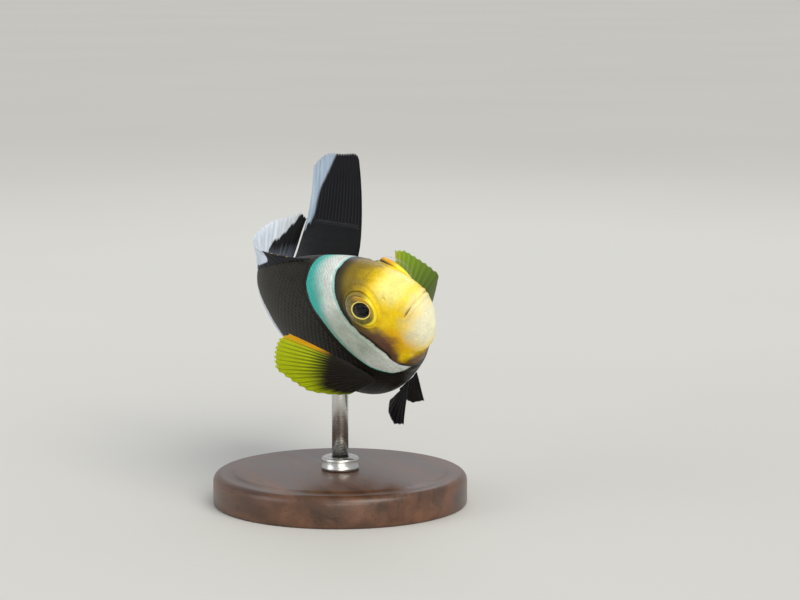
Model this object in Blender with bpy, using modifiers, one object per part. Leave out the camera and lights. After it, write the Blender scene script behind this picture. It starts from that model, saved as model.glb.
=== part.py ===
"""A saddleback clownfish (Amphiprion polymnus), life size, on a small turned display stand.

The fish is laid out in its own frame: +X runs from the snout to the tail, +Y to the fish's right
and +Z to its back. Places along the body are fractions of the standard length, from the snout (0)
to the root of the tail fin (1). One empty then pitches, banks and turns the whole fish over the
stand, whose underside is on the ground at the origin.
"""
import math

import bmesh
import bpy
import numpy as np
from mathutils import Matrix, Vector

NAME = "saddleback_clownfish"

# Driving sizes, in metres.
LENGTH = 0.075           # standard length, snout to the root of the tail fin
GAP = 0.0003             # clearance between pieces that touch
RING = 36                # points round each cross-section

# Body outline, as fractions of the standard length:
# along, top, bottom, half width, sharpness of the back, sharpness of the belly.
STATIONS = (
    (0.00, -0.010, -0.010, 0.000, 0.85, 0.85),
    (0.01, 0.019, -0.038, 0.025, 0.85, 0.85),
    (0.03, 0.044, -0.062, 0.041, 0.85, 0.85),
    (0.07, 0.083, -0.097, 0.058, 0.82, 0.88),
    (0.13, 0.126, -0.132, 0.073, 0.80, 0.92),
    (0.20, 0.158, -0.158, 0.085, 0.84, 0.96),
    (0.28, 0.185, -0.181, 0.092, 0.95, 1.00),
    (0.36, 0.206, -0.198, 0.094, 1.05, 1.05),
    (0.45, 0.220, -0.205, 0.091, 1.15, 1.10),
    (0.56, 0.221, -0.197, 0.082, 1.20, 1.10),
    (0.68, 0.190, -0.168, 0.064, 1.20, 1.10),
    (0.80, 0.133, -0.118, 0.043, 1.10, 1.05),
    (0.90, 0.089, -0.082, 0.027, 1.00, 1.00),
    (1.00, 0.079, -0.077, 0.015, 1.00, 1.00),
)

# Swimming pose: each turn of the spine grows smoothly from its start to its end along the body.
BEND = (78.0, 0.36, 1.07)       # degrees to the fish's left
UNBEND = (-14.0, 0.90, 1.30)    # the tail fin trails back a little
TWIST = (48.0, 0.71, 1.14)      # degrees, the back of the tail leaning to the right
LIFT = (18.0, 0.50, 1.00)       # degrees, the tail towards the back
PITCH = 17.7                    # nose up
BANK = 39.8                     # right side down
SNOUT = Vector((-0.0011, -0.0325, 0.042))
SPINE_STEP = 0.01
SPINE_END = 1.40

# Where the body is parted.
HEAD_END = 0.186
GILL_END = 0.285
TRUNK_END = 0.80
COVER_TOP = 40.0                # gill cover, degrees above the side
COVER_FOOT = -70.0              # and below it
COVER_THICK = 0.0011

# Lower jaw, in the fish's XZ plane.
MOUTH = Vector((0.0, -0.0008))
MOUTH_CORNER = Vector((0.0029, -0.0016))
JAW_HEEL = Vector((0.0085, -0.0100))

# Eyes.
EYE_CENTRE = Vector((0.0096, 0.0046, 0.0035))
EYE_RADIUS = 0.0034
EYE_DEPTH = 0.0024
EYE_FORWARD = 16.0
EYE_UP = 6.0

# Fins.
TAIL_FIN = 0.298                # length of the tail fin, as a fraction of the standard length
TAIL_RISE = 0.0023              # how far its tip is swept towards the back
TAIL_CURL = -0.0025             # how far its tip curls, here to the fish's left
FIN_EDGE = 0.00052              # thickness at the margin
FIN_ROOT = 0.00085              # thickness at the root

# Stand.
BASE_RADIUS = 0.023
BASE_THICK = 0.006
ROD_RADIUS = 0.0015
ROD_TOP = 0.0275
FERRULE_RADIUS = 0.0034
FERRULE_THICK = 0.0022


def smooth(value, start, end):
    """Smooth step of a value from 0 at start to 1 at end."""
    t = min(max((value - start) / (end - start), 0.0), 1.0)
    return t * t * (3.0 - 2.0 * t)


def ramp(value, points):
    """Straight-line interpolation through (place, height) pairs."""
    places, heights = zip(*points)
    return float(np.interp(value, places, heights))


def mix(a, b, t):
    return a + (b - a) * t


class Outline:
    """The body outline: natural cubic splines of the stations over the root of the place along
    the body, so that the snout comes out round."""

    def __init__(self):
        table = np.array(STATIONS)
        self.knots = np.sqrt(table[:, 0])
        self.values = table[:, 1:]
        gaps = np.diff(self.knots)
        count = len(self.knots)
        system = np.eye(count)
        slopes = np.zeros_like(self.values)
        for i in range(1, count - 1):
            system[i, i - 1:i + 2] = gaps[i - 1], 2 * (gaps[i - 1] + gaps[i]), gaps[i]
            after = (self.values[i + 1] - self.values[i]) / gaps[i]
            before = (self.values[i] - self.values[i - 1]) / gaps[i - 1]
            slopes[i] = 6 * (after - before)
        self.curvatures = np.linalg.solve(system, slopes)

    def at(self, along):
        """Top, bottom, half width and the two sharpnesses at a place along the body."""
        place = math.sqrt(min(max(along, 0.0), 1.0))
        i = min(max(int(np.searchsorted(self.knots, place)) - 1, 0), len(self.knots) - 2)
        gap = self.knots[i + 1] - self.knots[i]
        a, b = self.knots[i + 1] - place, place - self.knots[i]
        bend_a, bend_b = self.curvatures[i], self.curvatures[i + 1]
        bow = (bend_a * a ** 3 + bend_b * b ** 3) / (6 * gap)
        chord_a = self.values[i] / gap - bend_a * gap / 6
        chord_b = self.values[i + 1] / gap - bend_b * gap / 6
        return bow + chord_a * a + chord_b * b

    def top(self, along):
        return self.at(along)[0] * LENGTH

    def bottom(self, along):
        return self.at(along)[1] * LENGTH

    def point(self, along, angle):
        """(y, z) of the skin at an angle in degrees: 0 is the right side, 90 the back."""
        top, bottom, half, back, belly = self.at(along)
        middle = (top + bottom) / 2
        across, height = math.cos(math.radians(angle)), math.sin(math.radians(angle))
        power = back if height > 0 else belly
        reach = top - middle if height > 0 else middle - bottom
        y = half * math.copysign(abs(across) ** power, across)
        return Vector((y, middle + reach * height)) * LENGTH

    def inset(self, along, angle, depth):
        """The skin's point moved inwards, square to the outline of its cross-section."""
        here = self.point(along, angle)
        run = self.point(along, angle + 1) - self.point(along, angle - 1)
        return here - Vector((run.y, -run.x)).normalized() * depth


class Spine:
    """The bent midline: a centre and a turned frame at each step from the snout to the tail."""

    def __init__(self):
        self.frames = []
        centre, turn = Vector((0, 0, 0)), Matrix.Identity(3)
        for i in range(round(SPINE_END / SPINE_STEP) + 1):
            self.frames.append((centre.copy(), turn.copy()))
            along = i * SPINE_STEP
            left = self.gain(BEND, along) + self.gain(UNBEND, along)
            turn = turn @ Matrix.Rotation(-left, 3, "Z")
            turn = turn @ Matrix.Rotation(-self.gain(TWIST, along), 3, "X")
            turn = turn @ Matrix.Rotation(-self.gain(LIFT, along), 3, "Y")
            centre = centre + turn.col[0] * SPINE_STEP * LENGTH

    @staticmethod
    def gain(turning, along):
        """Radians that a turn gains over the step that starts here."""
        total, start, end = turning
        grown = smooth(along + SPINE_STEP, start, end) - smooth(along, start, end)
        return math.radians(total) * grown

    def frame(self, along):
        """Centre and frame at a place along the body."""
        step = min(max(along / SPINE_STEP, 0.0), len(self.frames) - 1.001)
        i = int(step)
        (centre_a, turn_a), (centre_b, turn_b) = self.frames[i], self.frames[i + 1]
        return centre_a.lerp(centre_b, step - i), turn_a.lerp(turn_b, step - i)

    def place(self, along, y, z):
        """A point of the straight fish carried to the bent one."""
        centre, turn = self.frame(along)
        return centre + turn @ Vector((0, y, z))


OUTLINE = Outline()
SPINE = Spine()


# ---------------------------------------------------------------------------------------------
# Scene, materials and joining


def clear_scene():
    for thing in list(bpy.data.objects):
        bpy.data.objects.remove(thing, do_unlink=True)


def make_collection(name):
    group = bpy.data.collections.new(name)
    bpy.context.scene.collection.children.link(group)
    return group


def material(name, colour, roughness, metallic=0.0):
    skin = bpy.data.materials.new(name)
    skin.use_nodes = True
    shader = skin.node_tree.nodes["Principled BSDF"]
    shader.inputs["Base Color"].default_value = (*colour, 1.0)
    shader.inputs["Roughness"].default_value = roughness
    shader.inputs["Metallic"].default_value = metallic
    return skin


def add_mesh(name, bm, group, parent=None, look=None):
    """An object of a finished bmesh, its faces turned outwards."""
    bmesh.ops.recalc_face_normals(bm, faces=bm.faces)
    mesh = bpy.data.meshes.new(name)
    bm.to_mesh(mesh)
    bm.free()
    mesh.shade_smooth()
    piece = bpy.data.objects.new(name, mesh)
    group.objects.link(piece)
    piece.parent = parent
    if look:
        mesh.materials.append(look)
    return piece


def boolean(piece, cutter, operation):
    """Cut a piece with a hidden cutter, or keep only what both hold."""
    cutter.hide_render = True
    cutter.display_type = "WIRE"
    step = piece.modifiers.new(cutter.name, "BOOLEAN")
    step.operation = operation
    step.solver = "EXACT"
    step.object = cutter


# ---------------------------------------------------------------------------------------------
# Closed shapes


def loft(rings):
    """A closed bmesh through rings of equal count, with a flat face over each end."""
    bm = bmesh.new()
    rows = [[bm.verts.new(point) for point in ring] for ring in rings]
    for near, far in zip(rows, rows[1:]):
        for i in range(len(near)):
            j = (i + 1) % len(near)
            bm.faces.new((near[i], near[j], far[j], far[i]))
    bm.faces.new(rows[0])
    bm.faces.new(rows[-1])
    return bm


def slab(front, back):
    """A closed bmesh between two grids of points of the same shape."""
    bm = bmesh.new()
    sheets = [[[bm.verts.new(point) for point in row] for row in grid] for grid in (front, back)]
    rows, columns = len(front), len(front[0])
    for sheet in sheets:
        for i in range(rows - 1):
            for j in range(columns - 1):
                corners = sheet[i][j], sheet[i][j + 1], sheet[i + 1][j + 1], sheet[i + 1][j]
                bm.faces.new(corners)
    rim = [(i, 0) for i in range(rows)] + [(rows - 1, j) for j in range(1, columns)]
    rim += [(i, columns - 1) for i in range(rows - 2, -1, -1)]
    rim += [(0, j) for j in range(columns - 2, 0, -1)]
    for (i, j), (k, m) in zip(rim, rim[1:] + rim[:1]):
        bm.faces.new((sheets[0][i][j], sheets[0][k][m], sheets[1][k][m], sheets[1][i][j]))
    return bm


def fin_slab(centre, rays, steps):
    """A thin fin about its middle surface centre(t, v): t runs from ray to ray, v up a ray."""
    faces = ([], [])
    nudge = 0.01
    for i in range(rays):
        t = i / (rays - 1)
        side, near = mix(nudge, 1 - nudge, t), []
        for j in range(steps):
            v = j / (steps - 1)
            up = mix(nudge, 1 - nudge, v)
            along = centre(side + nudge, up) - centre(side - nudge, up)
            out = centre(side, up + nudge) - centre(side, up - nudge)
            normal = along.cross(out).normalized()
            near.append((centre(t, v), normal * mix(FIN_ROOT, FIN_EDGE, v) / 2))
        faces[0].append([point + half for point, half in near])
        faces[1].append([point - half for point, half in near])
    return slab(*faces)


def prism(outline, reach):
    """A block with an outline in the fish's XZ plane, reaching as far to either side."""
    sides = [[Vector((x, y, z)) for x, z in outline] for y in (-reach, reach)]
    return loft(sides)


# ---------------------------------------------------------------------------------------------
# Body


def body_ring(along, depth=None):
    """One cross-section on the bent spine, set in by depth(angle) where a cover lies on it."""
    ring = []
    for i in range(RING):
        angle = 360 * i / RING
        y, z = OUTLINE.inset(along, angle, depth(angle) if depth else 0.0)
        ring.append(SPINE.place(along, y, z))
    return ring


def stations(start, end, count):
    return [mix(start, end, i / (count - 1)) for i in range(count)]


def head_mesh():
    """The snout to the front edge of the gill covers, its rings closest at the snout."""
    first = 0.0006
    places = [mix(first ** 0.5, HEAD_END ** 0.5, i / 15) ** 2 for i in range(16)]
    return loft([body_ring(along) for along in places])


def jaw_block(clearance):
    """The wedge of the head that is lower jaw, grown by a clearance."""
    slope = (MOUTH_CORNER - MOUTH).normalized()
    heel = (JAW_HEEL - MOUTH_CORNER).normalized()
    above = Vector((-slope.y, slope.x)) * clearance
    behind = Vector((-heel.y, heel.x)) * clearance
    front = MOUTH - slope * LENGTH / 10 + above
    corner = MOUTH_CORNER + above + behind
    foot = JAW_HEEL + heel * LENGTH / 10 + behind
    return prism((front, corner, foot, Vector((front.x, foot.y))), LENGTH / 5)


def make_head(parts, cutters, pose, look):
    head = add_mesh("head", head_mesh(), parts, pose, look["face"])
    jaw = add_mesh("lower_jaw", head_mesh(), parts, pose, look["chin"])
    cleared = add_mesh("jaw_cutter_wide", jaw_block(GAP), cutters, pose)
    kept = add_mesh("jaw_cutter", jaw_block(0.0), cutters, pose)
    boolean(head, cleared, "DIFFERENCE")
    boolean(jaw, kept, "INTERSECT")
    for side, name in ((1, "right"), (-1, "left")):
        socket = eye_mesh(GAP)
        place_eye(add_mesh("socket_cutter_" + name, socket, cutters, pose), side)
        boolean(head, bpy.data.objects["socket_cutter_" + name], "DIFFERENCE")
        eye = add_mesh("eye_" + name, eye_mesh(0.0), parts, pose, look["eye"])
        place_eye(eye, side)


def eye_mesh(clearance):
    """A flattened ball whose short axis is its own Z."""
    bm = bmesh.new()
    bmesh.ops.create_uvsphere(bm, u_segments=24, v_segments=12, radius=EYE_RADIUS + clearance)
    squash = (EYE_DEPTH + clearance) / (EYE_RADIUS + clearance)
    bmesh.ops.scale(bm, verts=bm.verts, vec=(1.0, 1.0, squash))
    return bm


def place_eye(eye, side):
    """Set an eye in its socket, looking out, forward and a little up."""
    level = math.cos(math.radians(EYE_UP))
    ahead = level * math.sin(math.radians(EYE_FORWARD))
    aside = level * math.cos(math.radians(EYE_FORWARD))
    look_out = Vector((-ahead, side * aside, math.sin(math.radians(EYE_UP))))
    eye.location = Vector((EYE_CENTRE.x, side * EYE_CENTRE.y, EYE_CENTRE.z))
    eye.rotation_euler = look_out.to_track_quat("Z", "Y").to_euler()


def cover_depth(angle):
    """How deep the trunk is set in under the gill covers, on both sides alike."""
    around = (angle + 90) % 360 - 90
    from_side = 180 - around if around > 90 else around
    covered = COVER_FOOT - 0.01 < from_side < COVER_TOP + 0.01
    return COVER_THICK + GAP if covered else 0.0


def make_trunk(parts, cutters, pose, look):
    """The trunk, its shoulders set in under the gill covers, and the tail stem behind it."""
    part_line = GAP / LENGTH
    covered = stations(HEAD_END + part_line, GILL_END, 6)
    open_skin = stations(GILL_END + 0.001, TRUNK_END, 19)
    rings = [body_ring(along, cover_depth) for along in covered]
    rings += [body_ring(along) for along in open_skin]
    trunk = add_mesh("trunk", loft(rings), parts, pose, look["body"])
    hole = bmesh.new()
    bmesh.ops.create_cone(hole, cap_ends=True, segments=24, radius1=ROD_RADIUS + GAP,
                          radius2=ROD_RADIUS + GAP, depth=ROD_TOP + GAP)
    cutter = add_mesh("rod_cutter", hole, cutters)
    cutter.location.z = (ROD_TOP + GAP) / 2
    boolean(trunk, cutter, "DIFFERENCE")
    rings = [body_ring(along) for along in stations(TRUNK_END + part_line, 1.0, 9)]
    add_mesh("tail_stem", loft(rings), parts, pose, look["body"])


def make_gill_covers(parts, pose, look):
    """One plate on each side, its hind edge rounded, over the set-in shoulder."""
    part_line = GAP / LENGTH
    columns, rows = 6, 13
    for side, name in ((1, "right"), (-1, "left")):
        outer, inner = [], []
        for i in range(rows):
            t = i / (rows - 1)
            angle = mix(COVER_FOOT + 2.5, COVER_TOP - 2.5, t)
            round_off = 0.020 * abs(2 * t - 1.1) ** 2.5
            front, hind = HEAD_END + part_line, GILL_END - part_line - round_off
            sheets = []
            for depth in (0.0, COVER_THICK):
                row = []
                for along in stations(front, hind, columns):
                    y, z = OUTLINE.inset(along, angle, depth)
                    row.append(SPINE.place(along, side * y, z))
                sheets.append(row)
            outer.append(sheets[0])
            inner.append(sheets[1])
        add_mesh("gill_cover_" + name, slab(outer, inner), parts, pose, look["bar"])


# ---------------------------------------------------------------------------------------------
# Fins


def ray_point(along, y, z, direction, reach):
    """The point at a reach along a ray: its root on the body, its direction (back, right, up)."""
    centre, turn = SPINE.frame(along)
    return centre + turn @ (Vector((0, y, z)) + Vector(direction).normalized() * reach)


def make_median_fins(parts, pose, look):
    """Spiny and soft dorsal fins, and the anal fin."""
    # Back, right and up components of the first spine and of the first, middle and last soft ray.
    folded, raised = (0.95, 0.0, 0.30), (0.70, -0.50, 0.52)
    middle, last = (0.825, -0.58, 0.50), (0.78, -0.72, 0.14)

    def spiny(t, v):
        along = mix(0.290, 0.556, t)
        reach = ramp(t, ((0, 0.026), (0.15, 0.065), (0.7, 0.080), (1, 0.088))) * LENGTH
        lean = Vector(folded).lerp(Vector(raised), t)
        return ray_point(along, 0, OUTLINE.top(along) + GAP, lean, reach * v)

    def soft(t, v):
        along = mix(0.566, 0.905, t)
        reach = ramp(t, ((0, 0.084), (0.26, 0.116), (0.42, 0.131), (0.8, 0.150), (1, 0.107)))
        first, second = (raised, middle) if t < 0.5 else (middle, last)
        lean = Vector(first).lerp(Vector(second), 2 * t if t < 0.5 else 2 * t - 1)
        return ray_point(along, 0, OUTLINE.top(along) + GAP, lean, reach * LENGTH * v)

    def anal(t, v):
        along = mix(0.610, 0.885, t)
        reach = ramp(t, ((0, 0.045), (0.12, 0.090), (0.5, 0.145), (0.8, 0.160), (1, 0.090)))
        lean = (0.85, -0.18, -0.60)
        return ray_point(along, 0, OUTLINE.bottom(along) - GAP, lean, reach * LENGTH * v)

    add_mesh("dorsal_fin_spiny", fin_slab(spiny, 14, 4), parts, pose, look["fin"])
    add_mesh("dorsal_fin_soft", fin_slab(soft, 13, 6), parts, pose, look["fin"])
    add_mesh("anal_fin", fin_slab(anal, 12, 6), parts, pose, look["fin"])


def make_tail_fin(parts, pose, look):
    """A tail fin held half closed and swept towards the back, its upper corner round."""
    # Half heights of the upper and the lower lobe from the root to the tip.
    upper = ((0, 0.074), (0.25, 0.069), (0.60, 0.064), (1, 0.058))
    lower = ((0, 0.074), (0.25, 0.070), (0.60, 0.064), (1, 0.054))

    def tail(t, v):
        height = 2 * t - 1
        corner = 0.070 * height ** 3.2 if height > 0 else 0.030 * height ** 8
        along = 1.0 + GAP / LENGTH + (TAIL_FIN - 0.012 * (1 - height ** 2) - corner) * v
        half = ramp(v, upper if height > 0 else lower) * LENGTH
        swing = v ** 1.6
        return SPINE.place(along, TAIL_CURL * swing, half * height + TAIL_RISE * swing)

    add_mesh("tail_fin", fin_slab(tail, 13, 7), parts, pose, look["fin"])


def make_paired_fins(parts, pose, look):
    """Pectoral and pelvic fins: the right pectoral swept up the flank, the left one spread."""
    # Back, out and up components of the first, middle and last ray.
    sweeps = {"right": ((0.10, 0.30, 0.86), (0.66, 0.38, 0.56), (0.95, 0.24, 0.02)),
              "left": ((0.29, 0.75, 0.52), (0.38, 0.92, 0.00), (0.63, 0.80, -0.17))}
    reaches = {"right": ((0, 0.150), (0.12, 0.176), (0.5, 0.215), (0.78, 0.186), (1, 0.102)),
               "left": ((0, 0.150), (0.12, 0.172), (0.5, 0.200), (0.75, 0.160), (1, 0.078))}
    for side, name in ((1, "right"), (-1, "left")):
        first, middle, last = (Vector(ray) for ray in sweeps[name])

        def pectoral(t, v):
            along, angle = mix(0.312, 0.322, t), mix(-14.0, -42.0, t)
            root = OUTLINE.inset(along, angle, -2 * GAP)
            direction = first.lerp(middle, 2 * t) if t < 0.5 else middle.lerp(last, 2 * t - 1)
            reach = ramp(t, reaches[name])
            ray = (direction.x, side * direction.y, direction.z)
            return ray_point(along, side * root.x, root.y, ray, reach * LENGTH * v)

        def pelvic(t, v):
            along, angle = mix(0.330, 0.372, t), -78.0
            root = OUTLINE.inset(along, angle, -2 * GAP)
            reach = ramp(t, ((0, 0.150), (0.35, 0.175), (0.7, 0.145), (1, 0.090))) * LENGTH
            ray = (mix(0.80, 0.97, t), side * mix(0.15, 0.02, t), mix(-0.55, -0.15, t))
            return ray_point(along, side * root.x, root.y, ray, reach * v)

        add_mesh("pectoral_fin_" + name, fin_slab(pectoral, 13, 6), parts, pose, look["paddle"])
        add_mesh("pelvic_fin_" + name, fin_slab(pelvic, 7, 6), parts, pose, look["fin"])


# ---------------------------------------------------------------------------------------------
# Stand


def turned(name, profile, parts, look):
    """A solid turned about Z from an outline of (radius, height) pairs, top to bottom."""
    mesh = bpy.data.meshes.new(name)
    points = [(radius, 0.0, height) for radius, height in profile]
    mesh.from_pydata(points, [(i, i + 1) for i in range(len(points) - 1)], [])
    piece = bpy.data.objects.new(name, mesh)
    parts.objects.link(piece)
    lathe = piece.modifiers.new("turned", "SCREW")
    lathe.steps = 48
    lathe.render_steps = 48
    lathe.use_merge_vertices = True
    lathe.merge_threshold = 0.00001
    mesh.materials.append(look)
    return piece


def make_stand(parts, look):
    """A turned disc, a ferrule on it round the foot of the rod, and one upright rod."""
    edge = 0.0012
    base = [(0.0, BASE_THICK)]
    for i in range(5):
        turn = math.radians(90 - 22.5 * i)
        rim = BASE_RADIUS - edge + edge * math.cos(turn)
        base.append((rim, BASE_THICK - edge + edge * math.sin(turn)))
    base += [(BASE_RADIUS, 0.0005), (BASE_RADIUS - 0.0005, 0.0), (0.0, 0.0)]
    turned("stand_base", base, parts, look["wood"])
    foot, top, bevel = BASE_THICK + GAP, BASE_THICK + GAP + FERRULE_THICK, 0.0005
    bore = ROD_RADIUS + GAP
    ring = [(bore, foot), (bore, top), (FERRULE_RADIUS - bevel, top),
            (FERRULE_RADIUS, top - bevel), (FERRULE_RADIUS, foot), (bore, foot)]
    turned("stand_ferrule", ring, parts, look["steel"])
    rod = [(0.0, ROD_TOP), (ROD_RADIUS, ROD_TOP), (ROD_RADIUS, foot), (0.0, foot)]
    turned("stand_rod", rod, parts, look["steel"])


def main():
    clear_scene()
    parts = make_collection(NAME)
    cutters = make_collection("cutters")
    look = {
        "face": material("yellow_face", (0.72, 0.50, 0.03), 0.35),
        "chin": material("cream_chin", (0.78, 0.72, 0.42), 0.35),
        "bar": material("white_bar", (0.66, 0.72, 0.68), 0.38),
        "body": material("black_brown_body", (0.022, 0.017, 0.012), 0.35),
        "fin": material("black_fin", (0.014, 0.014, 0.018), 0.45),
        "paddle": material("yellow_green_fin", (0.50, 0.55, 0.02), 0.45),
        "eye": material("dark_eye", (0.010, 0.010, 0.014), 0.06),
        "wood": material("dark_walnut", (0.060, 0.030, 0.015), 0.40),
        "steel": material("brushed_steel", (0.55, 0.55, 0.56), 0.30, 1.0),
    }
    pose = bpy.data.objects.new("fish_pose", None)
    parts.objects.link(pose)
    pose.location = SNOUT
    pose.rotation_euler = (math.radians(-BANK), math.radians(PITCH), math.radians(90))
    make_head(parts, cutters, pose, look)
    make_gill_covers(parts, pose, look)
    make_trunk(parts, cutters, pose, look)
    make_median_fins(parts, pose, look)
    make_tail_fin(parts, pose, look)
    make_paired_fins(parts, pose, look)
    make_stand(parts, look)


main()
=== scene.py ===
"""A saddleback clownfish (Amphiprion polymnus), life size, on a small turned display stand.

The skin, the coat of scales, the fins and the eyes are laid out on a straight fish, in its own
frame: +X from the snout to the tail, +Y to the fish's right and +Z to its back, with places along
the body as fractions of the standard length. The bent spine and the pose then carry every point
to its place over the stand.
"""
import math

import bmesh
import bpy
import numpy as np
from mathutils import Matrix, Vector


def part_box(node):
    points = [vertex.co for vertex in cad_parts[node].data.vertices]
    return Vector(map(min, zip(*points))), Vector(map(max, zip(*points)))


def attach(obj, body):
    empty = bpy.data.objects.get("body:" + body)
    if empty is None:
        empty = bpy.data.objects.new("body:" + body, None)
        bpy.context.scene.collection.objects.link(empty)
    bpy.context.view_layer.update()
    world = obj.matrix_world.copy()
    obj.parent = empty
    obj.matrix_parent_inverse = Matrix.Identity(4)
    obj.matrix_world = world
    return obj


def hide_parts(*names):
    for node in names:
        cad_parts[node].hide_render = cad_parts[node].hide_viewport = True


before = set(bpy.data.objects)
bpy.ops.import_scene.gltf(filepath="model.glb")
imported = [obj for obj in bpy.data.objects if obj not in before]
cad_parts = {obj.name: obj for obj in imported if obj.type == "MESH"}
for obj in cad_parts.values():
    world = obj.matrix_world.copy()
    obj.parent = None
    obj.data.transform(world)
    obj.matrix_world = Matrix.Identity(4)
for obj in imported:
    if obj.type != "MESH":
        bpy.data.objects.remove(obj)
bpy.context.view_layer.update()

bl_info = {
    "name": "Saddleback clownfish",
    "version": (1, 0, 0),
    "blender": (4, 5, 0),
    "location": "3D View > Sidebar > Clownfish",
    "description": "Builds a saddleback clownfish with its scales, fins, eyes and display stand",
    "category": "Add Mesh",
}

BODY = "root"

# ---- Shape of the fish

LENGTH = 0.075                  # standard length, metres
MM = 0.001
LENGTH_MM = LENGTH / MM
GAP = 0.0003                    # clearance of the solids' roots

# along, top, bottom, half width, sharpness of the back, sharpness of the belly
STATIONS = np.array((
    (0.00, -0.010, -0.010, 0.000, 0.85, 0.85),
    (0.01, 0.019, -0.038, 0.025, 0.85, 0.85),
    (0.03, 0.044, -0.062, 0.041, 0.85, 0.85),
    (0.07, 0.083, -0.097, 0.058, 0.82, 0.88),
    (0.13, 0.126, -0.132, 0.073, 0.80, 0.92),
    (0.20, 0.158, -0.158, 0.085, 0.84, 0.96),
    (0.28, 0.185, -0.181, 0.092, 0.95, 1.00),
    (0.36, 0.206, -0.198, 0.094, 1.05, 1.05),
    (0.45, 0.220, -0.205, 0.091, 1.15, 1.10),
    (0.56, 0.221, -0.197, 0.082, 1.20, 1.10),
    (0.68, 0.190, -0.168, 0.064, 1.20, 1.10),
    (0.80, 0.133, -0.118, 0.043, 1.10, 1.05),
    (0.90, 0.089, -0.082, 0.027, 1.00, 1.00),
    (1.00, 0.079, -0.077, 0.015, 1.00, 1.00),
))

# Turns of the spine: degrees, and the stretch of the body they grow over.
BEND = (78.0, 0.36, 1.07)       # to the fish's left
UNBEND = (-14.0, 0.90, 1.30)    # the tail fin swings back a little
TWIST = (48.0, 0.71, 1.14)      # of the tail about the spine
LIFT = (18.0, 0.50, 1.00)       # towards the fish's back
PITCH = 17.7                    # degrees nose up
BANK = 39.8                     # degrees right side down
SNOUT = (-0.0011, -0.0325, 0.042)           # world place of its tip
SPINE_STEP, SPINE_END = 0.01, 1.40          # of the frames along the spine

TAIL_BASE = 1.075               # the skin reaches this far over the root of the tail fin
TAIL_REACH = 0.298              # length of the tail fin
TAIL_RISE, TAIL_CURL = 0.0023, -0.0025      # sweep of its tip to the back and to the left, metres
TAIL_SWEEP = 1.6                # power with which the sweep grows

EYE_CENTRE = (0.0096, 0.0046, 0.0035)       # back, out and up from the snout, metres
EYE_FORWARD, EYE_UP = 16.0, 6.0             # degrees an eye looks forward and up

# Edges of the white head bar and of the saddle bar: (height, along) pairs up the side.
BAR_FRONT = ((-0.16, 0.203), (-0.144, 0.209), (-0.128, 0.206), (-0.105, 0.202), (-0.078, 0.184),
             (-0.044, 0.179), (-0.012, 0.182), (0.011, 0.189), (0.050, 0.190), (0.093, 0.184),
             (0.126, 0.176), (0.143, 0.169), (0.160, 0.159), (0.20, 0.152))
BAR_REAR = ((-0.16, 0.236), (-0.145, 0.240), (-0.137, 0.260), (-0.115, 0.272), (-0.090, 0.282),
            (-0.030, 0.281), (0.057, 0.280), (0.125, 0.286), (0.152, 0.281), (0.170, 0.270),
            (0.190, 0.259), (0.20, 0.255))
SADDLE_FRONT = ((-0.06, 0.560), (0.00, 0.552), (0.050, 0.540), (0.104, 0.535), (0.155, 0.545),
                (0.191, 0.567), (0.217, 0.581), (0.25, 0.59))
SADDLE_REAR = ((-0.06, 0.562), (0.00, 0.590), (0.050, 0.630), (0.104, 0.672), (0.155, 0.735),
               (0.191, 0.80), (0.217, 0.83), (0.25, 0.85))
BAR_FOOT, SADDLE_FOOT = -0.144, -0.035      # heights they end at below


def natural_spline(knots, values):
    """Second derivatives of natural cubic splines through columns of values."""
    gaps, count = np.diff(knots), len(knots)
    system, slopes = np.eye(count), np.zeros_like(values)
    for i in range(1, count - 1):
        system[i, i - 1:i + 2] = gaps[i - 1], 2 * (gaps[i - 1] + gaps[i]), gaps[i]
        slopes[i] = 6 * ((values[i + 1] - values[i]) / gaps[i]
                         - (values[i] - values[i - 1]) / gaps[i - 1])
    return np.linalg.solve(system, slopes)


KNOTS = np.sqrt(STATIONS[:, 0])
CURVATURES = natural_spline(KNOTS, STATIONS[:, 1:])


def smooth(value, start, end):
    """Smooth step from 0 at start to 1 at end."""
    t = np.clip((np.asarray(value, float) - start) / (end - start), 0.0, 1.0)
    return t * t * (3.0 - 2.0 * t)


def window(value, start, full, fade, end):
    """1 between full and fade, falling smoothly to 0 at start and end."""
    return smooth(value, start, full) * (1 - smooth(value, fade, end))


def mix(a, b, t):
    return a + (b - a) * t


def ramp(value, points):
    """Straight-line interpolation through (place, height) pairs."""
    places, heights = zip(*points)
    return np.interp(value, places, heights)


def unit(vectors):
    return vectors / np.maximum(np.linalg.norm(vectors, axis=-1, keepdims=True), 1e-12)


def section(along):
    """Top, bottom, half width and both sharpnesses at places along the body."""
    place = np.sqrt(np.clip(along, 0.0, 1.0))
    i = np.clip(np.searchsorted(KNOTS, place) - 1, 0, len(KNOTS) - 2)
    gap = (KNOTS[i + 1] - KNOTS[i])[..., None]
    a, b = (KNOTS[i + 1] - place)[..., None], (place - KNOTS[i])[..., None]
    low, high = STATIONS[i, 1:], STATIONS[i + 1, 1:]
    bow = (CURVATURES[i] * a ** 3 + CURVATURES[i + 1] * b ** 3) / (6 * gap)
    fore = (low / gap - CURVATURES[i] * gap / 6) * a
    aft = (high / gap - CURVATURES[i + 1] * gap / 6) * b
    return np.moveaxis(bow + fore + aft, -1, 0)


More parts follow.
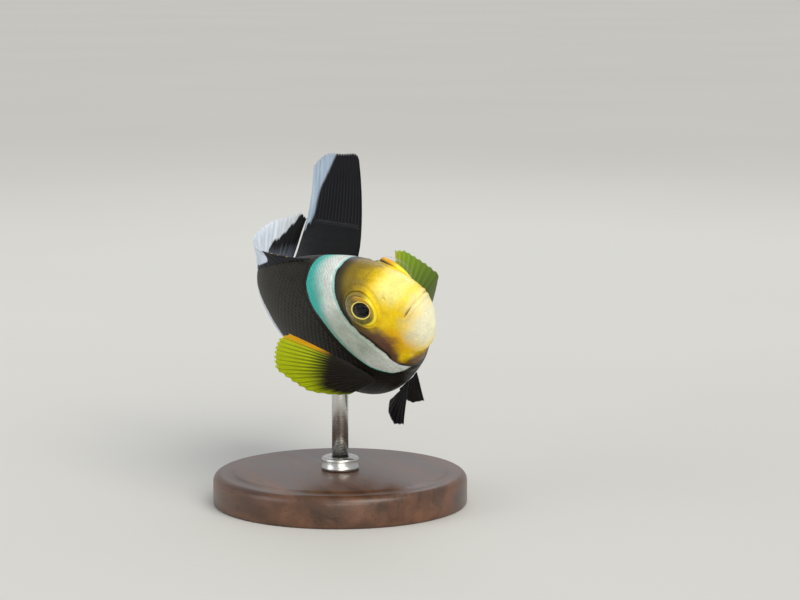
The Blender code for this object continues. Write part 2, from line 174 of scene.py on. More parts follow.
def body_point(along, angle):
    """Straight-fish point, in metres, at an angle in degrees: 0 the right side, 90 the back."""
    along, angle = np.broadcast_arrays(np.asarray(along, float), np.asarray(angle, float))
    top, bottom, half, back, belly = section(along)
    past = smooth(along, 0.985, TAIL_BASE)      # the tail stem thins out over the fin's root
    half, top, bottom = half * (1 - 0.955 * past), top - 0.007 * past, bottom + 0.007 * past
    swing = np.clip((along - 1.0) / TAIL_REACH, 0.0, None) ** TAIL_SWEEP
    across, height = np.cos(np.radians(angle)), np.sin(np.radians(angle))
    middle = (top + bottom) / 2
    power = np.where(height > 0, back, belly)
    reach = np.where(height > 0, top - middle, middle - bottom)
    y = half * np.sign(across) * np.abs(across) ** power + swing * TAIL_CURL / LENGTH
    z = middle + reach * height + swing * TAIL_RISE / LENGTH
    return np.stack((along, y, z), -1) * LENGTH


def body_normal(along, angle):
    """Outward direction, square to the body, on the straight fish."""
    place, nudge, swing = np.sqrt(np.clip(along, 0.0, None)), 0.0015, 0.8
    fore = body_point(np.maximum(place - nudge, 0.0) ** 2, angle)
    aft = body_point((place + nudge) ** 2, angle)
    low, high = body_point(along, angle - swing), body_point(along, angle + swing)
    return unit(np.cross(high - low, aft - fore))


def spine_frames():
    """The bent midline: a centre and a turned frame at each step."""
    def gain(turning, along):
        total, start, end = turning
        return math.radians(total) * float(smooth(along + SPINE_STEP, start, end)
                                           - smooth(along, start, end))

    centres, turns = [], []
    centre, turn = Vector((0, 0, 0)), Matrix.Identity(3)
    for i in range(round(SPINE_END / SPINE_STEP) + 1):
        centres.append(tuple(centre))
        turns.append([tuple(row) for row in turn])
        along = i * SPINE_STEP
        turn = turn @ Matrix.Rotation(-gain(BEND, along) - gain(UNBEND, along), 3, "Z")
        turn = turn @ Matrix.Rotation(-gain(TWIST, along), 3, "X")
        turn = turn @ Matrix.Rotation(-gain(LIFT, along), 3, "Y")
        centre = centre + turn.col[0] * SPINE_STEP * LENGTH
    return np.array(centres), np.array(turns)


CENTRES, TURNS = spine_frames()
POSE = np.array((Matrix.Rotation(math.radians(90), 3, "Z")
                 @ Matrix.Rotation(math.radians(PITCH), 3, "Y")
                 @ Matrix.Rotation(math.radians(-BANK), 3, "X")))


def spine_at(along):
    """Centres and frames at places along the body."""
    step = np.clip(np.asarray(along, float) / SPINE_STEP, 0.0, len(CENTRES) - 1.001)
    i = step.astype(int)
    part = step - i
    centre = mix(CENTRES[i], CENTRES[i + 1], part[..., None])
    return centre, mix(TURNS[i], TURNS[i + 1], part[..., None, None])


def carry(along, offset):
    """World points: offsets (back, right, up) in metres from the spine at places along it."""
    centre, turn = spine_at(along)
    bent = centre + np.einsum("...ij,...j->...i", turn, offset)
    return bent @ POSE.T + np.array(SNOUT)


def carry_straight(points):
    """World points of straight-fish points."""
    offset = points.copy()
    offset[..., 0] = 0.0
    return carry(points[..., 0] / LENGTH, offset)


# ---- Relief of the skin

# The mouth slit from the side, (along, height) pairs, and where its corner is.
MOUTH_LINE = ((0.0, -0.010), (0.008, -0.011), (0.018, -0.014), (0.039, -0.021), (0.06, -0.03))
MOUTH_END = 0.0405
# Middles of the nostrils (along, out, up) and their radii in metres.
NOSTRILS = ((0.030, 0.034, 0.038, 0.00020), (0.052, 0.043, 0.040, 0.00026))
# Hind edge of the cheek's bone (height, along), its lower limb and the bone under the eye
# (along, height), and the crease of the lower gill cover (height, along).
CHEEK_EDGE = ((-0.14, 0.188), (-0.115, 0.204), (-0.065, 0.188), (0.0, 0.190), (0.06, 0.182))
CHEEK_LIMB = ((0.05, -0.072), (0.09, -0.094), (0.14, -0.112), (0.19, -0.122))
UNDER_EYE = ((0.06, -0.038), (0.10, -0.056), (0.15, -0.060), (0.185, -0.040))
GILL_CREASE = ((-0.15, 0.232), (-0.12, 0.214), (-0.09, 0.200))


def eye_axes(side):
    """Centre of an eye on the straight fish and its outward, forward and upward directions."""
    level = math.cos(math.radians(EYE_UP))
    out = np.array((-level * math.sin(math.radians(EYE_FORWARD)),
                    side * level * math.cos(math.radians(EYE_FORWARD)),
                    math.sin(math.radians(EYE_UP))))
    fore = unit(np.array((-1.0, 0.0, 0.0)) - out * -out[0])
    up = np.cross(out, fore) * side
    centre = np.array((EYE_CENTRE[0], side * EYE_CENTRE[1], EYE_CENTRE[2]))
    return centre, out, fore, up


def bell(value, width):
    return np.exp(-(value / width) ** 2)


def relief(points):
    """How far the skin stands out of the plain body at straight-fish points, in millimetres."""
    mirrored = points.copy()
    mirrored[..., 1] = np.abs(points[..., 1])
    along, y, z = np.moveaxis(mirrored / LENGTH, -1, 0)
    rise = np.zeros(along.shape)

    # Mouth slit with a soft lip above and below it, ending in a small fold at each corner.
    above = (z - ramp(along, MOUTH_LINE)) * LENGTH_MM
    shut = 1 - smooth(along, MOUTH_END - 0.007, MOUTH_END + 0.001)
    lips = 1 - smooth(along, MOUTH_END - 0.012, MOUTH_END + 0.010)
    rise += lips * (0.17 * bell(above - 0.52, 0.34) + 0.14 * bell(above + 0.50, 0.34))
    rise -= lips * (0.07 * bell(above - 1.15, 0.22) + 0.06 * bell(above + 1.15, 0.25))
    rise -= shut * mix(0.16, 0.52, smooth(along, 0.010, 0.024)) * bell(above, 0.105)

    # Orbit: a groove round the eyeball and a fold of skin outside it, fullest above.
    centre, out, fore, up = eye_axes(1)
    apart = mirrored - centre
    height = apart @ out / MM
    across = np.stack((apart @ fore, apart @ up), -1) / MM
    round_eye = np.linalg.norm(across, axis=-1)
    upper = 0.5 + 0.5 * across[..., 1] / np.maximum(round_eye, 1e-6)
    facing = smooth(height, -2.5, -0.8)
    rise += facing * (mix(0.16, 0.27, upper) * bell(round_eye - 3.58, 0.24)
                      - 0.10 * bell(round_eye - 4.30, 0.30)
                      + 0.08 * upper * bell(round_eye - 4.9, 0.55)
                      - np.maximum(height + 0.9, 0.0) * (1 - smooth(round_eye, 3.02, 3.48)))

    # Nostrils: a small pit in a low rim.
    for *hole, radius in NOSTRILS:
        gap = np.linalg.norm(mirrored - np.array(hole) * LENGTH, axis=-1) / radius
        rise += 0.10 * bell(gap - 1.75, 0.55) - 0.42 * bell(gap, 0.95)

    # Cheek: the free hind edge of the fore gill-cover bone, its lower limb and a bone under the
    # eye.
    past = (along - ramp(z, CHEEK_EDGE)) * LENGTH_MM
    shown = window(z, -0.145, -0.115, 0.02, 0.075)
    rise += shown * (0.11 * bell(past + 0.55, 0.45) - 0.20 * bell(past, 0.17))
    shown = window(along, 0.055, 0.09, 0.175, 0.20) * smooth(y, 0.012, 0.03)
    rise -= shown * 0.13 * bell((z - ramp(along, CHEEK_LIMB)) * LENGTH_MM, 0.20)
    shown = window(along, 0.06, 0.09, 0.16, 0.185)
    rise -= shown * 0.07 * bell((z - ramp(along, UNDER_EYE)) * LENGTH_MM, 0.28)

    # Gill cover: it stands a little proud and drops to the shoulder at its hind edge.
    past = (along - ramp(z, BAR_REAR)) * LENGTH_MM
    drop = (0.27 * smooth(past, 0.0, 0.22) * np.exp(-np.maximum(past, 0.0) / 1.6)
            + 0.05 * smooth(past, 0.5, 3.0))
    rise += window(z, -0.160, -0.13, 0.055, 0.10) * np.where(
        past < 0, 0.05 * smooth(past, -4.0, -0.5), 0.05 - drop)
    # Two short creases where the lower gill-cover bones meet.
    for offset, strength in ((0.012, 0.11), (0.026, 0.08)):
        gap = (along - ramp(z, GILL_CREASE) - offset) * LENGTH_MM
        rise -= window(z, -0.150, -0.138, -0.11, -0.09) * strength * bell(gap, 0.16)

    # Throat: the notch behind the chin, and gill membranes folded under it.
    top, bottom = section(along)[:2]
    low = 1 - smooth(z - bottom, 0.004, 0.030)
    middle = bell(y * LENGTH_MM, 0.35)
    fold = np.sin(along * 210.0 + y * 160.0)
    rise -= low * (0.75 * bell((along - 0.143) / 0.0095, 1.0)
                   + 0.35 * window(along, 0.135, 0.150, 0.17, 0.23)
                   - 0.045 * fold * window(along, 0.10, 0.13, 0.20, 0.24)
                   + 0.10 * middle * window(along, 0.05, 0.08, 0.15, 0.2))

    # Skin rises in a low sheath to the foot of each middle fin.
    for gap, start in ((top - z, (0.285, 0.33)), (z - bottom, (0.60, 0.64))):
        sheath = bell(y * LENGTH_MM, 0.75) * (1 - smooth(gap * LENGTH_MM, 0.4, 1.6))
        rise += 0.16 * sheath * window(along, *start, 0.87, 0.92)
    return rise


COAT_DEPTH = 0.14 * MM          # the skin lies this far inside the solids, but for the tail's root


def skin_point(along, angle):
    """Straight-fish points of the finished skin."""
    plain = body_point(along, angle)
    depth = COAT_DEPTH * (1 - smooth(plain[..., 0] / LENGTH, 0.99, 1.06))
    rise = relief(plain) * MM - depth
    return plain + body_normal(along, angle) * rise[..., None]


# ---- Colours and settings


def srgb(code):
    """A hex sRGB colour as linear red, green and blue."""
    parts = [int(code[i:i + 2], 16) / 255 for i in (1, 3, 5)]
    return tuple(c / 12.92 if c <= 0.04045 else ((c + 0.055) / 1.055) ** 2.4 for c in parts)


def colour(name, description, code):
    return bpy.props.FloatVectorProperty(name=name, description=description, subtype="COLOR",
                                         size=3, min=0.0, max=1.0, default=srgb(code))


def size(name, description, value, low, high):
    return bpy.props.FloatProperty(name=name, description=description, default=value, min=low,
                                   max=high, subtype="DISTANCE", unit="LENGTH", precision=5)


class ClownfishColours(bpy.types.PropertyGroup):
    face: colour("Face", "Bright yellow of the face", "#F6CF0C")
    # Forehead and chin: pale cream pigment brightened with a painted highlight.
    pale_forehead_and_highlight: colour("Forehead", "Pale cream-yellow between the eyes", "#F3EA8C")
    chin: colour("Chin", "Whitish cream of the lips and chin", "#FBF6D2")
    cheek: colour("Cheek", "Orange-yellow of the cheek", "#F0B400")
    nape: colour("Nape", "Olive brown before the head bar", "#6B5A14")
    eyeshade: colour("Eye shade", "Purple-brown patch below and behind the eye", "#55303A")
    throat: colour("Throat", "Brown of the throat", "#5A3410")
    body: colour("Body", "Black-brown of the flanks", "#14110B")
    flank: colour("Upper flank", "Olive-brown high on the flank", "#211F15")
    bar: colour("Bars", "White of the head bar and saddle", "#E9EEE6")
    turquoise: colour("Bar edge", "Turquoise hind edge of the head bar", "#38BDB0")
    fin: colour("Dark fins", "Blue-black of the middle and pelvic fins", "#090A0D")
    margin: colour("Fin margins", "Bluish white of the fin margins", "#DDE5F0")
    pectoral: colour("Pectoral fins", "Yellow-green of the pectoral fins", "#C4D400")
    # The left pectoral's green is the pectoral green darkened with painted shade.
    far_pectoral: colour("Left pectoral", "Darker green of the left pectoral fin", "#86A80A")
    leading: colour("Leading ray", "Orange-yellow first ray of the pectoral fins", "#E9A400")
    iris: colour("Iris", "Olive gold of the iris", "#7C6F1C")
    iris_ring: colour("Iris ring", "Pale yellow ring round the pupil", "#F4DF62")
    walnut: colour("Walnut", "Oiled walnut of the base", "#6B4630")
    steel: colour("Steel", "Brushed steel of the rod and ferrule", "#C9C8C4")
    floor: colour("Floor", "Plain pale floor", "#CDCCC8")


class ClownfishSizes(bpy.types.PropertyGroup):
    scale_rise: size("Scale rise", "How far a scale's hind edge stands up", 0.038 * MM, 0.0, 0.001)
    membrane: size("Fin membrane", "Thickness of the fin membranes", 0.11 * MM, 0.00002, 0.001)
    ray: size("Fin rays", "Radius of a soft ray at its root", 0.115 * MM, 0.00002, 0.001)
    spine: size("Fin spines", "Radius of a spine at its root", 0.19 * MM, 0.00002, 0.001)
    scale_rows: bpy.props.IntProperty(name="Scale rows", description="Rows of scales on a side",
                                      default=27, min=8, max=60)


# ---- Node and mesh helpers


def paint(value):
    """A colour as a node takes it: from a hex code, a setting, or a field as it is."""
    if isinstance(value, Field):
        return value
    return (*(srgb(value) if isinstance(value, str) else value), 1.0)


class Field:
    """One output of a node. Arithmetic on it adds the nodes for it to the same tree, so that a
    look reads as a formula."""

    def __init__(self, tree, node, output=None):
        self.tree, self.node = tree, node
        self.socket = next((out for out in node.outputs if out.enabled), None)
        if output is not None:
            self.socket = node.outputs[output]

    def __getitem__(self, output):
        return Field(self.tree, self.node, output)

    def split(self):
        parts = add(self.tree, "ShaderNodeSeparateXYZ", (self,))
        return parts[0], parts[1], parts[2]

    def math(self, operation, *others):
        return add(self.tree, "ShaderNodeMath", (self, *others), operation=operation)

    def vector(self, operation, *others):
        return add(self.tree, "ShaderNodeVectorMath", (self, *others), operation=operation)

    def __add__(self, other):
        return self.math("ADD", other)

    def __sub__(self, other):
        return self.math("SUBTRACT", other)

    def __mul__(self, other):
        return self.math("MULTIPLY", other)

    def __truediv__(self, other):
        return self.math("DIVIDE", other)

    def span(self, low, high, start=0.0, end=1.0, **settings):
        """Straight ramp from start at low to end at high, level beyond both."""
        return add(self.tree, "ShaderNodeMapRange", (self, low, high, start, end), **settings)

    def ease(self, *ends):
        """The same ramp as a smooth step."""
        return self.span(*ends, interpolation_type="SMOOTHSTEP")

    def blend(self, under, over):
        """A colour that turns from one into the other as this field goes from 0 to 1."""
        return add(self.tree, "ShaderNodeMix", (self, paint(under), paint(over)),
                   data_type="RGBA")

    def stretched(self, scale, turn=0.0):
        return add(self.tree, "ShaderNodeMapping",
                   {"Vector": self, "Scale": scale, "Rotation": (0.0, 0.0, turn)})

    def noise(self, scale, detail, distortion=0.0):
        return add(self.tree, "ShaderNodeTexNoise", {"Vector": self, "Scale": scale,
                                                     "Detail": detail, "Distortion": distortion})

    def cells(self, scale):
        """Distance from the middle of the nearest cell."""
        return add(self.tree, "ShaderNodeTexVoronoi", {"Vector": self, "Scale": scale})["Distance"]

    def curve(self, pairs):
        """A marking's edge over this field, from (place, value) pairs."""
        low, high = pairs[0][0], pairs[-1][0]
        edge = add(self.tree, "ShaderNodeFloatCurve", (1.0, self.span(low, high)))
        points = edge.node.mapping.curves[0].points
        points[0].location, points[-1].location = (0.0, pairs[0][1]), (1.0, pairs[-1][1])
        for place, value in pairs[1:-1]:
            points.new((place - low) / (high - low), value)
        edge.node.mapping.update()
        return edge


def add(tree, kind, inputs=(), **settings):
    """Add a node with its settings and links. Inputs are in the order of the node's own sockets, or
    in a dictionary by socket name; each is a value or a field."""
    made = tree.nodes.new(kind)
    for key, value in settings.items():
        setattr(made, key, value)
    if isinstance(inputs, dict):
        pairs = [(made.inputs[key], value) for key, value in inputs.items()]
    else:
        pairs = zip([socket for socket in made.inputs if socket.enabled], inputs)
    for socket, value in pairs:
        if isinstance(value, Field):
            tree.links.new(value.socket, socket)
        else:
            socket.default_value = value
    return Field(tree, made)


def attribute(tree, name, output="Vector"):
    return add(tree, "ShaderNodeAttribute", attribute_name=name)[output]


def new_material(name):
    """A material with an empty node tree, and that tree."""
    look = bpy.data.materials.new(name)
    look.use_nodes = True
    look.node_tree.nodes.clear()
    return look, look.node_tree


def principled(look, base, settings, bump=None, invert=False):
    """Finish a look with one shader: its colour, its settings by socket name, and a bump given as
    a field, a strength and a depth in metres."""
    tree = look.node_tree
    if bump:
        named = dict(zip(("Height", "Strength", "Distance"), bump))
        settings["Normal"] = add(tree, "ShaderNodeBump", named, invert=invert)
    shader = add(tree, "ShaderNodeBsdfPrincipled", {"Base Color": paint(base), **settings})
    add(tree, "ShaderNodeOutputMaterial", {"Surface": shader})
    return look


def new_object(name, points, faces, vectors=None, edges=()):
    """An object in the scene from points in world metres, with named vector attributes."""
    mesh = bpy.data.meshes.new(name)
    mesh.from_pydata([tuple(p) for p in points], list(edges), faces)
    for key, values in (vectors or {}).items():
        layer = mesh.attributes.new(key, "FLOAT_VECTOR", "POINT")
        layer.data.foreach_set("vector", np.asarray(values, np.float32).ravel())
    piece = bpy.data.objects.new(name, mesh)
    bpy.context.scene.collection.objects.link(piece)
    return piece


def face_outwards(piece):
    """Turn all faces outwards, split those with more than four corners and shade them smooth."""
    bm = bmesh.new()
    bm.from_mesh(piece.data)
    bmesh.ops.recalc_face_normals(bm, faces=bm.faces)
    bmesh.ops.triangulate(bm, faces=[face for face in bm.faces if len(face.verts) > 4])
    bm.to_mesh(piece.data)
    bm.free()
    piece.data.shade_smooth()


def closed_tube(rings, around):
    """Quads between closed rings of points, and a fan to the end point over each end ring."""
    i, j = np.meshgrid(np.arange(rings - 1), np.arange(around), indexing="ij")
    k = (j + 1) % around
    quads = np.stack((i * around + j, i * around + k, (i + 1) * around + k,
                      (i + 1) * around + j), -1)
    faces, count = quads.reshape(-1, 4).tolist(), rings * around
    last = count - around
    for j in range(around):
        k = (j + 1) % around
        faces += [(count, k, j), (count + 1, last + j, last + k)]
    return faces


def rim_of(columns, rows):
    """Places round the edge of a grid, in order."""
    rim = [(i, 0) for i in range(columns)] + [(columns - 1, j) for j in range(1, rows)]
    rim += [(i, rows - 1) for i in range(columns - 2, -1, -1)]
    return rim + [(0, j) for j in range(rows - 2, 0, -1)]


def settle(piece, slot, *nodes):
    """Hand a finished piece to the frame: attach it to its body and hide the solids it stands for.
    The slot is not used.
    """
    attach(piece, BODY)
    if nodes:
        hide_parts(*nodes)


def make_plain(piece):
    """Replace a piece's modifiers by the mesh they give."""
    graph = bpy.context.evaluated_depsgraph_get()
    mesh = bpy.data.meshes.new_from_object(piece.evaluated_get(graph), depsgraph=graph)
    piece.modifiers.clear()
    piece.data = mesh
    mesh.name = piece.name


class Tree:
    """A Geometry Nodes tree with named inputs, put on a piece and then made plain."""

    def __init__(self, name, **inputs):
        self.tree = bpy.data.node_groups.new(name, "GeometryNodeTree")
        self.tree.is_modifier = True
        self.keys, sockets = {}, self.tree.interface
        sockets.new_socket(name="Geometry", in_out="OUTPUT", socket_type="NodeSocketGeometry")
        for key, kind in {"Geometry": "Geometry", **inputs, "Material": "Material"}.items():
            socket = sockets.new_socket(name=key, in_out="INPUT", socket_type="NodeSocket" + kind)
            self.keys[key] = socket.identifier
        self.take = add(self.tree, "NodeGroupInput")

    def node(self, kind, inputs=(), **settings):
        return add(self.tree, "GeometryNode" + kind, inputs, **settings)

    def object(self, name):
        return self.node("ObjectInfo", {"Object": self.take[name]})["Geometry"]

    def named(self, name):
        return self.node("InputNamedAttribute", {"Name": name}, data_type="FLOAT_VECTOR")

    def store(self, geometry, name, value, data_type, domain):
        return self.node("StoreNamedAttribute", {"Geometry": geometry, "Name": name,
                                                 "Value": value},
                         data_type=data_type, domain=domain)

    def finish(self, geometry):
        """Realize what the tree has made, give it its material and end the tree."""
        real = self.node("RealizeInstances", {"Geometry": geometry})
        painted = self.node("SetMaterial", {"Geometry": real, "Material": self.take["Material"]})
        add(self.tree, "NodeGroupOutput", {"Geometry": painted})
        return self

    def put_on(self, piece, values):
        piece.data.materials.append(values["Material"])
        step = piece.modifiers.new(self.tree.name, "NODES")
        step.node_group = self.tree
        for name, value in values.items():
            step[self.keys[name]] = value
        make_plain(piece)
        mesh = piece.data           # one slot only, with the look of the whole piece
        mesh.materials.clear()
        mesh.materials.append(values["Material"])
        mesh.polygons.foreach_set("material_index", np.zeros(len(mesh.polygons), int))


# ---- Skin


SKIN_AROUND = 288               # points in a ring of the skin
SNOUT_RINGS, SNOUT_END = 34, 0.024
HEAD_STEP, TRUNK_STEP = 0.00130, 0.0078     # between rings, as fractions of the length
MAP_EDGE = 0.01                 # free edge of the flat map


def ring_places():
    """Places of the skin's rings: closest on the snout and head, wider along the trunk."""
    places = list(np.linspace(0.0025, SNOUT_END ** 0.5, SNOUT_RINGS) ** 2)
    while places[-1] < TAIL_BASE:
        trunk = float(smooth(places[-1], 0.25, 0.35))
        places.append(places[-1] + mix(HEAD_STEP, TRUNK_STEP, trunk))
    places[-1] = TAIL_BASE
    return np.array(places)


def skin_unwrap(along, angle):
    """Place of a skin point on the flat map: along the body, with more room for the head than for
    the trunk, and round it from the belly."""
    u = MAP_EDGE + (1 - 2 * MAP_EDGE) * (np.asarray(along) / TAIL_BASE) ** 0.75
    v = MAP_EDGE + (1 - 2 * MAP_EDGE) * ((np.asarray(angle) + 90.0) % 360.0) / 360.0
    return u, v


def build_skin(look):
    places = ring_places()
    angles = np.arange(SKIN_AROUND) * 360.0 / SKIN_AROUND - 90.0
    along, angle = np.meshgrid(places, angles, indexing="ij")
    straight = skin_point(along, angle)
    straight = np.vstack((straight.reshape(-1, 3), straight[0].mean(0), straight[-1].mean(0)))
    skin = new_object("fish_skin", carry_straight(straight), closed_tube(len(places), SKIN_AROUND),
                      {"straight": straight / LENGTH})
    face_outwards(skin)
    mesh = skin.data
    layer = mesh.uv_layers.new(name="OFBake")
    u, v = skin_unwrap(along, angle)
    uv = np.stack((np.append(u.ravel(), (0.0, 1.0)), np.append(v.ravel(), (0.5, 0.5))), -1)
    corner, total = np.zeros(len(mesh.loops), int), np.zeros(len(mesh.polygons), int)
    mesh.loops.foreach_get("vertex_index", corner)
    mesh.polygons.foreach_get("loop_total", total)
    uv, start = uv[corner], np.cumsum(total) - total
    tall = np.maximum.reduceat(uv[:, 1], start) - np.minimum.reduceat(uv[:, 1], start) > 0.5
    # Faces that close the ring end at the map's far edge.
    uv[np.repeat(tall, total) & (uv[:, 1] < 0.25), 1] = 1 - MAP_EDGE
    layer.uv.foreach_set("vector", uv.astype(np.float32).ravel())
    mesh.materials.append(look)
    return skin


# Soft patches of the face, painted in turn: colour, centre (along, out, up), reach along, out and
# up, how sharp the edge is (0 soft to 1 sharp) and strength.
FACE_PATCHES = (
    ("cheek", (0.118, 0.060, -0.062), (0.062, 0.05, 0.055), 0.25, 0.75),
    # The forehead and chin patches are pale pigment with a painted highlight in them.
    ("pale_forehead_and_highlight", (0.036, 0.014, 0.046), (0.056, 0.050, 0.052), 0.10, 0.90),
    ("chin", (0.058, 0.000, -0.078), (0.098, 0.064, 0.086), 0.30, 1.0),
    ("chin", (0.006, 0.005, -0.016), (0.034, 0.045, 0.030), 0.10, 0.45),
    ("throat", (0.190, 0.030, -0.150), (0.060, 0.08, 0.040), 0.40, 0.95),
)

# Reach of the dark shade before the head bar: (height, along) pairs, in fractions of the length.
SHADE_REACH = ((-0.16, 0.004), (-0.133, 0.006), (-0.112, 0.020), (-0.090, 0.044), (-0.060, 0.062),
               (-0.030, 0.064), (-0.012, 0.060), (0.010, 0.044), (0.035, 0.034), (0.055, 0.058),
               (0.075, 0.098), (0.095, 0.118), (0.120, 0.126), (0.145, 0.130), (0.20, 0.140))

# Reach of the turquoise before the hind edge of the head bar, in the same way.
TURQUOISE_REACH = ((-0.16, 0.010), (-0.10, 0.012), (-0.03, 0.017), (0.05, 0.028), (0.09, 0.050),
                   (0.12, 0.084), (0.145, 0.086), (0.18, 0.050), (0.20, 0.046))


def body_colours(tree, colours):
    """The fish's markings from the straight-fish coordinates: their colour, a mask of the head bar
    and the coordinates."""
    straight = attribute(tree, "straight")
    along, side, height = straight.split()
    folded = add(tree, "ShaderNodeCombineXYZ", (along, side.math("ABSOLUTE"), height))
    # Skin pigment is never evenly spread: mottling about 2 mm and 0.3 mm across.
    mottle, grain = straight.noise(38.0, 4.0), straight.noise(240.0, 3.0)
    wander, ragged = mottle - 0.5, (grain - 0.5) * 0.0035
    place = along + ragged + wander * 0.012

    # Face: yellow ground under soft patches.
    face = colours.face
    for name, centre, reach, sharp, strength in FACE_PATCHES:
        gap = folded.vector("SUBTRACT", centre).vector("DIVIDE", reach).vector("LENGTH")["Value"]
        mask = (wander * 0.45 + gap).ease(mix(0.25, 0.85, sharp), 1.15, strength, 0.0)
        face = mask.blend(face, getattr(colours, name))
    # A dark shade before the bar: purple-brown under the eye, olive-brown on the nape.
    past_front, past_rear = place - height.curve(BAR_FRONT), place - height.curve(BAR_REAR)
    near = wander * 0.9 + past_front / height.curve(SHADE_REACH)
    shade = near.ease(-1.34, -0.42, 0.0, 0.92)
    brown = height.span(-0.02, 0.03).blend(colours.eyeshade, colours.nape)
    face = shade.blend(face, brown)
    closer = past_front.ease(-0.046, -0.014, 0.0, height.span(-0.03, 0.05, 0.30, 0.92))
    face = (closer * shade).blend(face, "#1C1710")
    # Dark pigment cells peppered over the nape and cheek.
    pepper = straight.cells(330.0).ease(0.16, 0.34, 1.0, 0.0) * near.ease(-1.9, -0.6, 0.0, 0.6)
    face = pepper.blend(face, "#1E1A0C")

    # Body: olive-brown above, black-brown below and blue-black on the tail stem.
    body = (wander * 0.35 + height).ease(-0.02, 0.19).blend(colours.body, colours.flank)
    body = along.ease(0.78, 0.98).blend(body, colours.fin)

    # Head bar: white, turquoise at its hind edge and in a line at the front. The turquoise is
    # widest high on the side and thins out towards the foot; the white is greyest half-way up.
    bar = past_front.span(-0.0016, 0.0016) * past_rear.span(-0.0016, 0.0016, 1.0, 0.0)
    bar = bar * (height + ragged).span(BAR_FOOT - 0.004, BAR_FOOT + 0.002)
    teal = (past_rear / height.curve(TURQUOISE_REACH)).ease(-1.05, -0.20)
    line = past_front.ease(0.004, 0.013, height.span(-0.03, 0.06, 0.08, 0.60), 0.0)
    white = teal.math("MAXIMUM", line).blend(colours.bar, colours.turquoise)
    grey = height.ease(0.11, 0.03, 0.0, 0.62) * height.ease(-0.03, -0.10, 1.0, 0.05)
    white = grey.blend(white, "#96A58F")
    streaks = straight.stretched((420.0, 90.0, 60.0)).noise(1.0, 3.0).span(0.50, 0.70, 0.0, 0.40)
    white = streaks.blend(white, "#8E9C98")

    # Behind the bar's front edge all is body; a black line runs before the bar and a narrow black
    # band behind it.
    whole = past_front.ease(-0.013, -0.003).blend(face, body)
    whole = bar.blend(whole, white)
    band = past_rear.ease(0.0, 0.030, 0.75, 0.0) * past_rear.math("GREATER_THAN", 0.0016)
    whole = band.blend(whole, "#0C0B09")

    # Saddle bar, slanting up and back to the soft dorsal fin.
    saddle = (place - height.curve(SADDLE_FRONT)).math("MINIMUM",
                                                       height.curve(SADDLE_REAR) - place)
    saddle = saddle.span(-0.002, 0.003) * height.span(SADDLE_FOOT, SADDLE_FOOT + 0.02)
    whole = saddle.blend(whole, streaks.blend(colours.margin, "#8E9C98"))
    tint = mottle.span(0.3, 0.7, 0.86, 1.10) * grain.span(0.3, 0.7, 0.90, 1.06)
    return whole.vector("SCALE", tint), bar, straight


def wet_skin(colours):
    """Living fish skin under a thin coat of slime: soft and slightly see-through, with a broad
    sheen, pigment mottled and stippled, and a leathery grain on the face."""
    look, tree = new_material("wet fish skin")
    whole, _, straight = body_colours(tree, colours)
    # Painted shade: dark brown in the mouth slit and the nostril pits.
    whole = attribute(tree, "crease", "Fac").span(0.0, 1.0, 0.0, 0.96).blend(whole, "#120B06")
    # Small scales of the cheeks and nape, about 0.5 mm, and skin grain of about 0.15 mm.
    grain = straight.noise(500.0, 2.0)
    return principled(look, whole, {
        "Roughness": grain.span(0.3, 0.7, 0.36, 0.48), "IOR": 1.38, "Subsurface Weight": 0.10,
        "Subsurface Radius": (1.0, 0.5, 0.25), "Subsurface Scale": 0.0006,
        "Specular IOR Level": 0.35, "Coat Weight": 0.10, "Coat Roughness": 0.22,
        "Coat IOR": 1.34}, (straight.cells(150.0) * 0.5 + grain, 0.10, 0.0002))


def paint_crease_shade(skin):
    """Painted shade in deep folds of the skin, the mouth slit and the nostril pits, as a mask."""
    mesh = skin.data
    straight = np.zeros(len(mesh.vertices) * 3, np.float32)
    mesh.attributes["straight"].data.foreach_get("vector", straight)
    points = straight.reshape(-1, 3).astype(float)
    points[:, 1] = np.abs(points[:, 1])
    along, z = points[:, 0], points[:, 2]
    above = (z - ramp(along, MOUTH_LINE)) * LENGTH_MM
    mask = (1 - smooth(along, MOUTH_END - 0.008, MOUTH_END + 0.003)) * bell(above, 0.11)
    mask = mask * mix(0.12, 1.0, smooth(along, 0.010, 0.026))
    paler = np.maximum(bell(along - 0.0245, 0.0012), bell(along - 0.0205, 0.0010))
    mask = mask * (1 - 0.55 * paler)
    for *hole, radius in NOSTRILS:
        gap = np.linalg.norm(points - np.array(hole), axis=-1)
        mask = np.maximum(mask, 0.85 * bell(gap * LENGTH / radius, 0.9))
    layer = mesh.attributes.new("crease", "FLOAT", "POINT")
    layer.data.foreach_set("value", mask.astype(np.float32))


class CLOWNFISH_OT_skin(bpy.types.Operator):
    """One skin over the head, gill covers, trunk and tail stem"""
    bl_idname = "clownfish.skin"
    bl_label = "Skin"

    def execute(self, context):
        skin = build_skin(wet_skin(context.scene.clownfish_colours))
        paint_crease_shade(skin)
        settle(skin, "body_skin", "head", "lower_jaw", "gill_cover_left", "gill_cover_right",
               "trunk", "tail_stem")
        return {"FINISHED"}


# ---- Coat of scales

SCALE_LENGTH, SCALE_WIDTH = 1.28, 1.12      # of a scale, in pitches between the rows
SCALE_STEP = 0.56               # pitches from one column of scales to the next
MAP_PATCH = 0.003               # reach of a scale's own patch of the flat map
FINE_COAT, FULL_COAT = (0.165, 0.30), (0.236, 1.062)    # stretches of the body they cover
FINE_RISE = 0.45                # height of the fine scales against the full-sized ones
COAT_SPLIT = 0.55               # where the full-sized scales are parted into pieces
SCALE_SEED = 11


